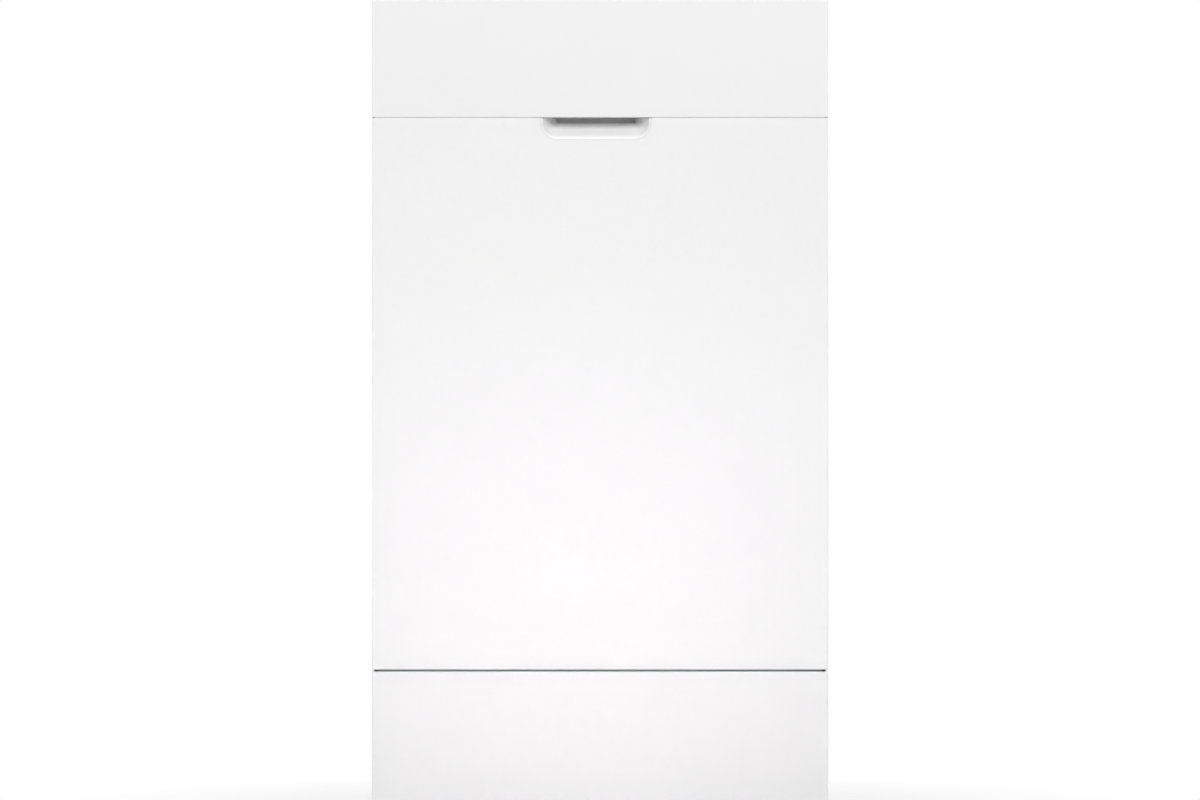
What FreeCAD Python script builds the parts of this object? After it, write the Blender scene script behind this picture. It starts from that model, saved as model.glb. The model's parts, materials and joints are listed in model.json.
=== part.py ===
import FreeCAD, Part
import math
import os
from FreeCAD import Vector

# A slimline dishwasher, 45 cm class, in millimetres.
# X runs to the right, the front faces -Y, Z is up, and the origin is on the floor under the middle.

# Cabinet
cabinet_width = 448.0
cabinet_height = 815.0
cabinet_depth = 570.0
panel_sheet = 1.0
frame_sheet = 1.5
fit_gap = 0.1
touch_gap = 0.3
overrun = 1.0
hose_recess = 35.0
rear_panel_lift = 130.0
rear_flange = 14.0
press_margin = 40.0
press_depth = 5.0
press_radius = 18.0

# Base, feet and plinth
base_lift = 28.0
base_plate = 4.0
base_wall = 3.0
base_side_height = 92.0
foot_radius = 20.0
foot_pad = 12.0
foot_pad_edge = 3.0
foot_stem_radius = 5.0
foot_stem_top = 100.0
foot_nut_flats = 19.0
foot_nut_height = 8.0
foot_boss_radius = 11.0
foot_boss_height = 24.0
foot_inset_x = 34.0
foot_inset_front = 36.0
foot_inset_rear = 26.0
plinth_lift = 18.0
plinth_height = 134.1
plinth_sheet = 2.5
plinth_rim = 1.4
plinth_setback = 0.4
plinth_return_drop = 6.0
plinth_lug = 20.0
plinth_lug_rise = 49.0
plinth_lug_spread = 160.0

# Door
door_thickness = 45.0
door_gap = 1.9
door_top_gap = 3.0
door_edge_radius = 0.8
door_frame_gap = 4.0
panel_flange = 22.0
fascia_height = 115.4
fascia_gap = 0.9
fascia_rib_setback = 1.2
fascia_wall = 2.5
liner_sheet = 1.2
liner_inset = 2.0
liner_foot = 6.0
liner_flange_rise = 14.0
door_seam = 0.5
liner_recess = 6.0
liner_recess_radius = 22.0
liner_recess_margin = 48.0
liner_recess_low = 52.0
liner_recess_high = 15.6
insulation_thickness = 8.0

# Handle pocket under the fascia
pocket_width = 108.5
pocket_offset = -4.0
pocket_drop = 21.4
pocket_depth = 21.0
pocket_ramp = 18.0
pocket_lip = 2.0
pocket_wall = 2.0
pocket_radius = 14.0
pocket_flange = 9.0
finger_slot_width = 78.0
finger_slot_height = 18.4
finger_slot_depth = 36.0
finger_slot_drop = 4.8

# Controls on the top edge of the door
strip_length = 300.0
strip_width = 20.0
strip_setback = 14.0
strip_ledge = 2.0
strip_ledge_thickness = 1.5
key_length = 17.0
key_width = 10.0
key_corner = 3.0
key_proud = 0.5
key_skirt = 1.0
key_skirt_thickness = 1.5
key_skirt_gap = 0.8
key_travel = 1.2
key_stem_radius = 2.5
key_clearance = 0.3
key_post_gap = 16.0
power_key_x = -125.0
program_key_x = -92.0
start_key_x = 125.0
window_length = 84.0
window_width = 14.0
window_thickness = 1.9
window_corner = 2.0
board_drop = 15.4
board_thickness = 1.6
board_width = 17.0
dome_radius = 3.0
dome_height = 2.0

# Door hinge and its balance springs
hinge_setback = 12.0
hinge_rise = 12.5
hinge_pin_radius = 4.0
hinge_running = 0.05
hinge_plate = 3.0
hinge_side_gap = 1.0
hinge_eye_radius = 9.0
hinge_bracket_half = 7.0
hinge_bracket_length = 55.0
hinge_bracket_drop = 105.0
hinge_arm_length = 160.0
hinge_arm_flange = 20.0
hinge_flange_length = 80.0
pin_head_radius = 6.0
pin_head = 2.0
spring_eye_rise = 22.0
spring_eye_radius = 3.0
spring_radius = 8.0
spring_length = 220.0
spring_height = 80.0
spring_setback = 60.0
spring_anchor = 6.0
rope_radius = 1.5

# Latch
latch_drop = 14.0
tongue_length = 21.0
tongue_thickness = 4.0
tongue_half = 8.0
tongue_notch = 6.0
latch_slot_half = 10.0
hook_half = 5.0
hook_pin_radius = 2.0
hook_hub_radius = 3.2
hook_lift = 0.7
hook_bar = 4.0
hook_beak = 1.2
hook_beak_length = 3.5
latch_slot_room = 3.0
latch_ear = 2.0
latch_plate_edge = 8.0
latch_case_rise = 4.0
strike_plate_half = 16.0
strike_plate = 1.0
latch_play = 1.0

# Tub
tub_side_gap = 24.0
tub_sheet = 1.5
tub_floor_drop = 27.5
tub_roof_drop = 35.0
tub_rear_gap = 32.0
floor_sheet = 2.0
track_width = 17.0
track_thickness = 3.0
sill_rise = 18.0
sill_drop = 12.0
stile_rise = 26.5
seal_inset = 5.0
seal_width = 8.0
seal_drop = 4.0

# Sump, filters, pumps and water ways
arm_y = 10.0
filter_x = 45.0
filter_y = -95.0
filter_radius = 38.0
filter_clearance = 0.5
filter_depth = 50.0
filter_grip_height = 10.0
filter_grip_half = 4.0
filter_grip_length = 54.0
filter_grip_radius = 2.0
filter_wall = 2.0
filter_cover = 3.0
filter_plate_radius = 29.0
filter_plate_thickness = 2.0
filter_plate_length = 190.0
filter_plate_width = 116.0
sump_radius = 62.0
sump_height = 74.0
hub_radius = 12.0
hub_rise = 12.0
water_way_height = 24.0
spindle_radius = 6.0
spindle_running = 0.08
softener_x = -112.0
softener_y = -60.0
softener_length = 120.0
softener_width = 130.0
softener_height = 105.0
salt_cap_radius = 30.0
salt_cap_height = 13.0
salt_cap_edge = 2.0
salt_notch_count = 12
salt_notch_radius = 3.0
salt_notch_offset = 1.2
salt_notch_rise = 4.0
pump_radius = 42.0
pump_length = 92.0
pump_wall = 5.0
pump_foot_half = 21.0
pump_y = 95.0
pump_x = 0.0
pump_axis_rise = 52.0
rotor_gap = 4.0
rotor_plate = 3.0
rotor_vane_length = 14.0
rotor_vane_half = 1.2
rotor_vane_count = 6
magnet_radius = 23.0
magnet_start = 30.0
magnet_length = 34.0
suction_radius = 12.0
suction_rise = 15.0
shaft_end_gap = 1.0
shaft_radius = 4.0
shaft_running = 0.06
drain_pump_radius = 23.0
drain_pump_length = 54.0
drain_pump_rise = 26.0
drain_magnet_radius = 11.0
drain_magnet_start = 18.0
drain_magnet_length = 20.0
drain_vane_length = 14.0
drain_vane_half = 1.0
drain_vane_count = 4
hose_spigot_radius = 9.5
hose_spigot_bore = 7.0
hose_spigot_length = 28.0
hose_spigot_inset = 72.7
connector_rise = 50.0
inlet_thread_radius = 13.2
inlet_bore = 8.0
inlet_length = 20.0
inlet_collar_radius = 17.0
inlet_collar = 3.7
inlet_groove_radius = 11.8
inlet_groove = 3.0
inlet_inset = 82.7
valve_size = 40.0
duct_width = 36.0
duct_depth = 15.0
ceiling_duct_width = 28.0
ceiling_spray_radius = 26.0
ceiling_spray_height = 12.0
ceiling_spray_edge = 4.0
duct_radius = 4.0

# Spray arms
lower_arm_room = 11.0
upper_arm_room = 40.0
arm_root_half = 21.0
arm_tip_half = 13.0
arm_thickness = 13.0
arm_edge_radius = 3.0
arm_lift = 3.0
arm_hub_radius = 24.0
arm_hub_height = 18.0

# Racks
wire = 4.0
wire_gap = 0.1
tine_radius = 1.75
tine_pitch = 27.0
lower_side_room = 30.0
lower_setback = 45.0
lower_rear_room = 28.0
lower_lift = 50.5
lower_height = 110.0
lower_band = 72.0
lower_tine = 84.0
upper_side_room = 32.0
upper_setback = 35.0
upper_rear_room = 28.0
upper_lift = 312.5
upper_height = 128.0
upper_band = 56.0
upper_tine = 52.0
rack_margin = 20.0
cross_count = 13
long_count = 6
grip_length = 120.0
grip_thickness = 8.0
grip_height = 20.0
grip_edge = 2.5
basket_length = 220.0
basket_width = 58.0
basket_height = 112.0
basket_wall = 2.0
basket_corner = 6.0
basket_side_gap = 8.0
basket_front_gap = 10.0
wheel_radius = 16.0
wheel_width = 8.0
wheel_side_gap = 7.0
wheel_edge = 1.5
wheel_dish_radius = 11.5
wheel_dish_depth = 2.0
wheel_core_radius = 6.6
wheel_boss_radius = 6.0
axle_radius = 3.0
axle_running = 0.08
carrier_thickness = 4.0
carrier_half = 13.0
carrier_top = 50.0
front_wheel_setback = 192.0
rear_wheel_inset = 45.0
rail_width = 12.0
rail_height = 16.0
rail_rise = 80.0
rail_edge = 2.0
guide_length = 75.0
guide_lip = 6.0
guide_cover = 8.0
guide_front_gap = 41.0
guide_spacing = 255.0
feed_width = 24.0
feed_height = 11.8
feed_radius = 3.0

# Detergent dispenser on the door liner
dispenser_low = 236.0
dispenser_height = 110.0
dispenser_width = 164.0
dispenser_flange = 2.0
dispenser_body_depth = 22.0
dispenser_body_inset = 9.0
dispenser_radius = 12.0
cup_width = 62.0
cup_height = 70.0
cup_depth = 18.0
cup_x = -38.0
cup_radius = 8.0
lid_thickness = 2.0
lid_overlap = 3.0
lid_knuckle = 2.2
lid_pin_radius = 1.2
rinse_cap_radius = 17.0
rinse_cap_x = 46.0
rinse_cap_proud = 3.0
rinse_plug_radius = 12.0
rinse_plug_depth = 9.0
rinse_grip_half = 12.5
rinse_grip_width = 5.0
rinse_grip_rise = 2.0

# Fixing tabs under the worktop
tab_spacing = 300.0
tab_width = 30.0
tab_reach = 22.0
tab_sheet = 1.5
tab_leg = 16.0
tab_hole_radius = 2.25
tab_hole_inset = 9.0

# Levels and faces that several pieces share
half = cabinet_width / 2
front = -cabinet_depth / 2
rear = cabinet_depth / 2
door_top = cabinet_height - door_top_gap
fascia_bottom = door_top - fascia_height
panel_top = fascia_bottom - fascia_gap
plinth_top = plinth_lift + plinth_height
door_bottom = plinth_top + door_gap
hinge_y = front + hinge_setback
hinge_z = door_bottom + hinge_rise
liner_face = front + door_thickness
liner_back = liner_face - liner_sheet
liner_half = half - liner_inset
liner_bottom = door_bottom + liner_foot
liner_top = door_top - fascia_wall - touch_gap
recess_face = liner_face - liner_recess
liner_flange = door_thickness - panel_flange - door_seam
frame_front = liner_face + door_frame_gap
frame_back = frame_front + frame_sheet
open_level = hinge_z + door_thickness - hinge_setback
floor_top = open_level - tub_floor_drop
floor_under = floor_top - floor_sheet
roof_under = cabinet_height - tub_roof_drop
tub_back = rear - tub_rear_gap
tub_half = half - tub_side_gap
cover_under = cabinet_height - panel_sheet
side_inner = half - panel_sheet
base_half = side_inner - touch_gap
base_top = base_lift + base_plate
base_rear = rear - hose_recess
base_front = frame_back + fit_gap
side_wall_top = base_lift + base_side_height
lower_front = liner_face + lower_setback
lower_back = tub_back - lower_rear_room
lower_half = tub_half - lower_side_room
lower_floor = open_level + lower_lift
upper_front = liner_face + upper_setback
upper_back = tub_back - upper_rear_room
upper_half = tub_half - upper_side_room
upper_floor = open_level + upper_lift
wire_radius = wire / 2
lower_arm_reach = tub_half - track_width - lower_arm_room
upper_arm_reach = tub_half - upper_arm_room
wheel_axis_z = open_level + touch_gap + wheel_radius
strip_y = front + strip_setback
strip_under = door_top - fascia_wall - strip_ledge_thickness
latch_z = door_top - latch_drop
dispenser_bottom = hinge_z + dispenser_low
dispenser_middle = dispenser_bottom + dispenser_height / 2


def box(x0, x1, y0, y1, z0, z1):
    return Part.makeBox(x1 - x0, y1 - y0, z1 - z0, Vector(x0, y0, z0))


def rod(start, end, radius):
    line = end.sub(start)
    return Part.makeCylinder(radius, line.Length, start, line)


def disc(x, y, z0, z1, radius):
    return Part.makeCylinder(radius, z1 - z0, Vector(x, y, z0))


def across(x0, x1, y, z, radius):
    return rod(Vector(x0, y, z), Vector(x1, y, z), radius)


def along(x, y0, y1, z, radius):
    return rod(Vector(x, y0, z), Vector(x, y1, z), radius)


def upright(x, y, z0, z1, radius):
    return rod(Vector(x, y, z0), Vector(x, y, z1), radius)


def joined(first, *others):
    return first.fuse(list(others)).removeSplitter()


def mirrored(shape):
    return shape.mirror(Vector(0, 0, 0), Vector(1, 0, 0))


def pair(shape):
    return [mirrored(shape), shape]


def spaced(first, last, count):
    return [first + (last - first) * i / (count - 1) for i in range(count)]


def edge_runs(edge, axis):
    spans = (edge.BoundBox.XLength, edge.BoundBox.YLength, edge.BoundBox.ZLength)
    return all((span > 1e-3) == (i == "XYZ".index(axis)) for i, span in enumerate(spans))


def rounded_corners(shape, axis, radius):
    return shape.makeFillet(radius, [edge for edge in shape.Edges if edge_runs(edge, axis)])


def rounded_front(shape, radius):
    face_y = shape.BoundBox.YMin
    return shape.makeFillet(radius, [edge for edge in shape.Edges if edge.BoundBox.YMax < face_y + 1e-3])


def rounded_top(shape, radius):
    top_z = shape.BoundBox.ZMax
    return shape.makeFillet(radius, [edge for edge in shape.Edges if edge.BoundBox.ZMin > top_z - 1e-3])


def save(name, *solids):
    shape = solids[0] if len(solids) == 1 else Part.makeCompound(list(solids))
    shape.exportStep("parts/" + name + ".step")
    print(name, len(shape.Solids), round(shape.Volume / 1000, 1), "cm3", shape.isValid())


# Cabinet shell
def side_panel():
    sheet = box(side_inner, half, frame_front, rear, base_lift, cover_under)
    flange = box(half - rear_flange, half, rear - 2 * panel_sheet, rear - panel_sheet, base_lift, cover_under)
    return joined(sheet, flange).cut(box(0, half, rear - panel_sheet, rear, rear_panel_lift, cover_under))


def pressed_panel(x0, x1, y0, y1, z0, z1, margin, depth, radius, thickness):
    sheet = box(x0, x1, y1 - thickness, y1, z0, z1)
    pan = box(x0 + margin, x1 - margin, y1 - depth - thickness, y1, z0 + margin, z1 - margin)
    hollow = box(x0 + margin + thickness, x1 - margin - thickness, y1 - depth, y1 + overrun,
                 z0 + margin + thickness, z1 - margin - thickness)
    pan = rounded_corners(pan, "Y", radius)
    hollow = rounded_corners(hollow, "Y", radius - thickness)
    return joined(sheet, pan).cut(hollow)


def rear_panel():
    return pressed_panel(-half, half, rear - press_depth, rear, rear_panel_lift, cover_under,
                         press_margin, press_depth, press_radius, panel_sheet)


def top_cover():
    return box(-half, half, frame_front, rear, cover_under, cabinet_height)


def front_frame():
    stile = box(tub_half, side_inner - fit_gap, frame_front, frame_back, liner_bottom + stile_rise,
                cover_under)
    top_rail = box(-tub_half, tub_half, frame_front, frame_back, roof_under, cover_under)
    sill = box(-tub_half, tub_half, frame_front, frame_back, floor_top - sill_drop, floor_top + sill_rise)
    return pair(stile) + [top_rail, sill]


def worktop_tab():
    reach = box(-tab_width / 2, tab_width / 2, frame_front - tab_reach, frame_front,
                cabinet_height - tab_sheet, cabinet_height)
    leg = box(-tab_width / 2, tab_width / 2, frame_front - tab_sheet, frame_front,
              cabinet_height - tab_leg, cabinet_height)
    hole = disc(0, frame_front - tab_reach + tab_hole_inset, cabinet_height - 2 * tab_sheet,
                cabinet_height + tab_sheet, tab_hole_radius)
    tab = joined(reach, leg).cut(hole)
    tab.translate(Vector(tab_spacing / 2, 0, 0))
    return tab


# Base, feet and plinth
foot_x = half - foot_inset_x
foot_places = {
    "foot_front_left": (-foot_x, frame_front + foot_inset_front),
    "foot_front_right": (foot_x, frame_front + foot_inset_front),
    "foot_rear_left": (-foot_x, base_rear - foot_inset_rear),
    "foot_rear_right": (foot_x, base_rear - foot_inset_rear),
}


def foot(x, y):
    pad = disc(x, y, 0, foot_pad, foot_radius)
    pad = rounded_top(pad, foot_pad_edge)
    corners = [Vector(x + foot_nut_flats / math.sqrt(3) * math.cos(math.radians(60 * i)),
                      y + foot_nut_flats / math.sqrt(3) * math.sin(math.radians(60 * i)), foot_pad)
               for i in range(7)]
    nut = Part.Face(Part.makePolygon(corners)).extrude(Vector(0, 0, foot_nut_height))
    stem = disc(x, y, foot_pad, foot_stem_top, foot_stem_radius)
    return joined(pad, nut, stem)


spring_x = base_half - base_wall - 2 * hinge_plate - spring_eye_radius - 2 * hinge_side_gap
spring_z = base_lift + spring_height
spring_front = base_front + base_wall + spring_setback
spring_back = spring_front + spring_length
connector_z = base_lift + connector_rise
hose_spigot_x = hose_spigot_inset - base_half
inlet_x = base_half - inlet_inset


def base_pan():
    plate = box(-base_half, base_half, base_front, base_rear, base_lift, base_top)
    side = box(base_half - base_wall, base_half, base_front, base_rear, base_lift, side_wall_top)
    front_wall = box(-tub_half, tub_half, base_front, base_front + base_wall, base_lift, floor_under)
    back_wall = box(-tub_half, tub_half, base_rear - base_wall, base_rear, base_lift, floor_under)
    low_front = box(-base_half, base_half, base_front, base_front + base_wall, base_lift, side_wall_top)
    low_back = box(-base_half, base_half, base_rear - base_wall, base_rear, base_lift, side_wall_top)
    anchor = box(spring_x - spring_radius, spring_x + spring_radius, spring_back, spring_back + spring_anchor,
                 base_top, spring_z + spring_radius)
    spigot = along(hose_spigot_x, base_rear - base_wall, base_rear + hose_spigot_length, connector_z,
                   hose_spigot_radius)
    bosses = [disc(x, y, base_lift, base_top + foot_boss_height, foot_boss_radius)
              for x, y in foot_places.values()]
    stems = [disc(x, y, base_lift - overrun, foot_stem_top, foot_stem_radius + touch_gap)
             for x, y in foot_places.values()]
    pan = joined(plate, *pair(side), front_wall, back_wall, low_front, low_back, *pair(anchor), spigot,
                 *bosses)
    spigot_bore = along(hose_spigot_x, base_rear - 2 * base_wall, base_rear + hose_spigot_length + overrun,
                        connector_z, hose_spigot_bore)
    inlet_hole = along(inlet_x, base_rear - 2 * base_wall, base_rear + overrun, connector_z,
                       inlet_thread_radius + touch_gap)
    return pan.cut(stems + [spigot_bore, inlet_hole])


def plinth():
    skin_front = front + plinth_setback
    back = frame_front - touch_gap
    outer = box(-half, half, skin_front, back, plinth_lift, plinth_top)
    outer = rounded_front(outer, door_edge_radius)
    hollow = box(-half + plinth_sheet, half - plinth_sheet, skin_front + plinth_sheet, back + overrun,
                 plinth_lift + plinth_sheet, plinth_top + overrun)
    swing_room = box(-half - overrun, half + overrun, skin_front + plinth_rim, back + overrun,
                     plinth_top - plinth_return_drop, plinth_top + overrun)
    shell = outer.cut([hollow, swing_room])
    lugs = []
    for x in (-plinth_lug_spread, plinth_lug_spread):
        lugs.append(box(x - plinth_lug / 2, x + plinth_lug / 2, skin_front + plinth_sheet / 2,
                        base_front - fit_gap, plinth_lift + plinth_lug_rise,
                        plinth_lift + plinth_lug_rise + plinth_lug))
    return joined(shell, *lugs)


# Tub
def tub_walls():
    wall = box(tub_half, tub_half + tub_sheet, frame_back, tub_back + tub_sheet, floor_under,
               roof_under + tub_sheet)
    roof = box(-tub_half, tub_half, frame_back, tub_back + tub_sheet, roof_under, roof_under + tub_sheet)
    back = box(-tub_half, tub_half, tub_back, tub_back + tub_sheet, floor_top, roof_under)
    return pair(wall) + [roof, back]


def tub_floor():
    sheet = box(-tub_half, tub_half, frame_back, tub_back + tub_sheet, floor_under, floor_top)
    ledge = box(tub_half - track_width, tub_half, frame_back, tub_back - fit_gap,
                open_level - track_thickness, open_level)
    web = box(tub_half - track_thickness, tub_half, frame_back, tub_back - fit_gap, floor_top, open_level)
    floor = joined(sheet, *pair(ledge), *pair(web))
    holes = [disc(filter_x, filter_y, floor_under - overrun, floor_top + overrun,
                  filter_radius + 2 * filter_clearance),
             disc(0, arm_y, floor_under - overrun, floor_top + overrun, hub_radius + touch_gap)]
    return floor.cut(holes)


def door_seal():
    front_face = liner_face + touch_gap
    inner = tub_half + seal_inset
    low = floor_top + sill_rise - seal_width - seal_drop
    high = roof_under + seal_width + seal_inset
    side = box(inner, inner + seal_width, front_face, frame_front, low, high)
    top = box(-inner + fit_gap, inner - fit_gap, front_face, frame_front, high - seal_width, high)
    bottom = box(-inner + fit_gap, inner - fit_gap, front_face, frame_front, low, low + seal_width)
    return pair(side) + [top, bottom]


# Sump, filters, softener and pumps
sump_bottom = floor_under - sump_height
filter_bottom = floor_top - filter_depth
hub_top = floor_top + hub_rise


def sump():
    bowl = disc(filter_x, filter_y, sump_bottom, floor_under, sump_radius)
    way = box(-hub_radius, filter_x, filter_y, arm_y + hub_radius, floor_under - water_way_height,
              floor_under)
    post = disc(0, arm_y, floor_under - hub_radius, hub_top, hub_radius)
    spindle = disc(0, arm_y, hub_top, hub_top + arm_lift + arm_hub_height, spindle_radius)
    well = disc(filter_x, filter_y, filter_bottom - overrun, floor_top, filter_radius + filter_clearance)
    return joined(bowl, way, post, spindle).cut(well)


def filter_plate():
    plate = box(filter_x - filter_plate_length / 2, filter_x + filter_plate_length / 2,
                filter_y - filter_plate_width / 2, filter_y + filter_plate_width / 2,
                floor_top, floor_top + filter_plate_thickness)
    plate = rounded_corners(plate, "Z", filter_plate_radius)
    return plate.cut(disc(filter_x, filter_y, floor_top - overrun, floor_top + filter_depth,
                          filter_radius + filter_clearance))


def filter_cylinder():
    top = floor_top + filter_plate_thickness
    body = disc(filter_x, filter_y, filter_bottom, top, filter_radius)
    hollow = disc(filter_x, filter_y, filter_bottom + filter_wall, top + overrun, filter_radius - filter_wall)
    cover = disc(filter_x, filter_y, top - filter_cover, top, filter_radius)
    grip = box(filter_x - filter_grip_length / 2, filter_x + filter_grip_length / 2,
               filter_y - filter_grip_half,
               filter_y + filter_grip_half, top, top + filter_grip_height)
    grip = rounded_top(grip, filter_grip_radius)
    return joined(body.cut(hollow), cover, grip)


def softener_tank():
    return box(softener_x - softener_length / 2, softener_x + softener_length / 2,
               softener_y - softener_width / 2, softener_y + softener_width / 2,
               floor_under - softener_height, floor_under)


def salt_cap():
    cap = disc(softener_x, softener_y, floor_top, floor_top + salt_cap_height, salt_cap_radius)
    cap = rounded_top(cap, salt_cap_edge)
    notches = []
    ring = salt_cap_radius + salt_notch_offset
    for i in range(salt_notch_count):
        angle = 2 * math.pi * i / salt_notch_count
        notches.append(disc(softener_x + ring * math.cos(angle), softener_y + ring * math.sin(angle),
                            floor_top + salt_notch_rise, floor_top + salt_cap_height + overrun,
                            salt_notch_radius))
    return cap.cut(notches)


pump_z = base_top + pump_axis_rise


def circulation_pump():
    casing = across(pump_x, pump_x + pump_length, pump_y, pump_z, pump_radius)
    foot_block = box(pump_x + pump_wall, pump_x + pump_length - pump_wall, pump_y - pump_foot_half,
                     pump_y + pump_foot_half, base_top, pump_z)
    suction = along(filter_x, filter_y + sump_radius + touch_gap, pump_y, sump_bottom + suction_rise,
                    suction_radius)
    chamber = across(pump_x + pump_wall, pump_x + pump_length - pump_wall, pump_y, pump_z,
                     pump_radius - pump_wall)
    bore = across(pump_x - overrun, pump_x + pump_length + overrun, pump_y, pump_z,
                  shaft_radius + shaft_running)
    return joined(casing, foot_block, suction).cut([chamber, bore])


def pump_rotor():
    reach = pump_radius - pump_wall - rotor_gap
    inner = pump_x + pump_wall
    shaft = across(pump_x + shaft_end_gap, pump_x + pump_length - shaft_end_gap, pump_y, pump_z, shaft_radius)
    magnet = across(inner + magnet_start, inner + magnet_start + magnet_length, pump_y, pump_z, magnet_radius)
    plate = across(inner + rotor_gap, inner + rotor_gap + rotor_plate, pump_y, pump_z, reach)
    vanes = []
    for i in range(rotor_vane_count):
        vane = box(inner + rotor_gap, inner + rotor_gap + rotor_plate + rotor_vane_length,
                   pump_y + shaft_radius / 2,
                   pump_y + reach - rotor_vane_half, pump_z - rotor_vane_half, pump_z + rotor_vane_half)
        vane.rotate(Vector(0, pump_y, pump_z), Vector(1, 0, 0), 360 / rotor_vane_count * i)
        vanes.append(vane)
    return joined(shaft, magnet, plate, *vanes)


drain_x = filter_x + sump_radius + touch_gap
drain_z = sump_bottom + drain_pump_rise


def drain_pump():
    casing = across(drain_x, drain_x + drain_pump_length, filter_y, drain_z, drain_pump_radius)
    chamber = across(drain_x + pump_wall, drain_x + drain_pump_length - pump_wall, filter_y, drain_z,
                     drain_pump_radius - pump_wall)
    bore = across(drain_x - overrun, drain_x + drain_pump_length + overrun, filter_y, drain_z,
                  shaft_radius + shaft_running)
    return casing.cut([chamber, bore])


def drain_impeller():
    reach = drain_pump_radius - pump_wall - rotor_gap
    inner = drain_x + pump_wall
    shaft = across(drain_x + shaft_end_gap, drain_x + drain_pump_length - shaft_end_gap, filter_y, drain_z,
                   shaft_radius)
    magnet = across(inner + drain_magnet_start, inner + drain_magnet_start + drain_magnet_length,
                    filter_y, drain_z,
                    drain_magnet_radius)
    vanes = []
    for i in range(drain_vane_count):
        vane = box(inner + rotor_gap / 2, inner + rotor_gap / 2 + drain_vane_length,
                   filter_y + shaft_radius / 2,
                   filter_y + reach, drain_z - drain_vane_half, drain_z + drain_vane_half)
        vane.rotate(Vector(0, filter_y, drain_z), Vector(1, 0, 0), 360 / drain_vane_count * i)
        vanes.append(vane)
    return joined(shaft, magnet, *vanes)


def inlet_valve():
    back = base_rear - base_wall - fit_gap
    body = box(inlet_x - valve_size / 2, inlet_x + valve_size / 2, back - valve_size, back,
               base_top, connector_z + valve_size / 2)
    collar_front = base_rear + touch_gap
    thread_front = collar_front + inlet_collar + inlet_groove
    neck = along(inlet_x, back - overrun, thread_front + overrun, connector_z, inlet_groove_radius)
    collar = along(inlet_x, collar_front, collar_front + inlet_collar, connector_z, inlet_collar_radius)
    thread = along(inlet_x, thread_front, thread_front + inlet_length, connector_z, inlet_thread_radius)
    bore = along(inlet_x, base_rear, thread_front + inlet_length + overrun, connector_z, inlet_bore)
    return joined(body, neck, collar, thread).cut(bore)


# Water ways up the back wall and across the roof
feed_z = upper_floor - wire_radius - wire_gap - feed_height / 2
feed_back = upper_back + wire


def riser_duct():
    duct_front = tub_back - fit_gap - duct_depth
    rise = box(-duct_width / 2, duct_width / 2, duct_front, tub_back - fit_gap, floor_top,
               roof_under - fit_gap)
    rise = rounded_corners(rise, "Z", duct_radius)
    port = along(0, feed_back + touch_gap, duct_front, feed_z, feed_height / 2)
    roof_run = box(-ceiling_duct_width / 2, ceiling_duct_width / 2, arm_y - ceiling_spray_radius,
                   duct_front - fit_gap, roof_under - fit_gap - duct_depth, roof_under - fit_gap)
    return [rise, port, roof_run]


def ceiling_sprayer():
    top = roof_under - 2 * fit_gap - duct_depth
    rose = disc(0, arm_y, top - ceiling_spray_height, top, ceiling_spray_radius)
    return rose.makeFillet(ceiling_spray_edge,
                           [edge for edge in rose.Edges if edge.BoundBox.ZMax < top - overrun])


# Spray arms
def arm_blade(reach, z0, z1):
    outline = []
    tip = reach - arm_tip_half
    points = [Vector(tip, -arm_tip_half, z0), Vector(reach, 0, z0), Vector(tip, arm_tip_half, z0),
              Vector(0, arm_root_half, z0), Vector(-tip, arm_tip_half, z0), Vector(-reach, 0, z0),
              Vector(-tip, -arm_tip_half, z0), Vector(0, -arm_root_half, z0)]
    outline.append(Part.Arc(points[0], points[1], points[2]).toShape())
    outline.append(Part.LineSegment(points[2], points[3]).toShape())
    outline.append(Part.LineSegment(points[3], points[4]).toShape())
    outline.append(Part.Arc(points[4], points[5], points[6]).toShape())
    outline.append(Part.LineSegment(points[6], points[7]).toShape())
    outline.append(Part.LineSegment(points[7], points[0]).toShape())
    blade = Part.Face(Part.Wire(outline)).extrude(Vector(0, 0, z1 - z0))
    blade = rounded_top(blade, arm_edge_radius)
    blade.translate(Vector(0, arm_y, 0))
    return blade


def lower_spray_arm():
    low = hub_top + touch_gap
    blade = arm_blade(lower_arm_reach, low + arm_lift, low + arm_lift + arm_thickness)
    hub = disc(0, arm_y, low, low + arm_lift + arm_hub_height, arm_hub_radius)
    hub = rounded_top(hub, arm_edge_radius)
    bore = disc(0, arm_y, low - overrun, hub_top + arm_lift + arm_hub_height + touch_gap,
                spindle_radius + spindle_running)
    return joined(blade, hub).cut(bore)


feed_under = feed_z - feed_height / 2
upper_arm_top = feed_under - touch_gap
upper_arm_low = upper_arm_top - arm_hub_height


def upper_spray_arm():
    blade = arm_blade(upper_arm_reach, upper_arm_low + arm_lift, upper_arm_low + arm_lift + arm_thickness)
    hub = disc(0, arm_y, upper_arm_low, upper_arm_top, arm_hub_radius)
    bore = disc(0, arm_y, upper_arm_low - overrun, upper_arm_top + overrun, spindle_radius + spindle_running)
    return joined(blade, hub).cut(bore)


def upper_arm_feed():
    run = box(-feed_width / 2, feed_width / 2, arm_y - feed_width / 2, feed_back, feed_under,
              feed_under + feed_height)
    run = rounded_corners(run, "Y", feed_radius)
    spindle = disc(0, arm_y, upper_arm_low - arm_lift, feed_under + overrun, spindle_radius)
    nut = disc(0, arm_y, upper_arm_low - arm_lift, upper_arm_low - touch_gap, spindle_radius + arm_lift)
    return joined(run, spindle, nut)


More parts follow.
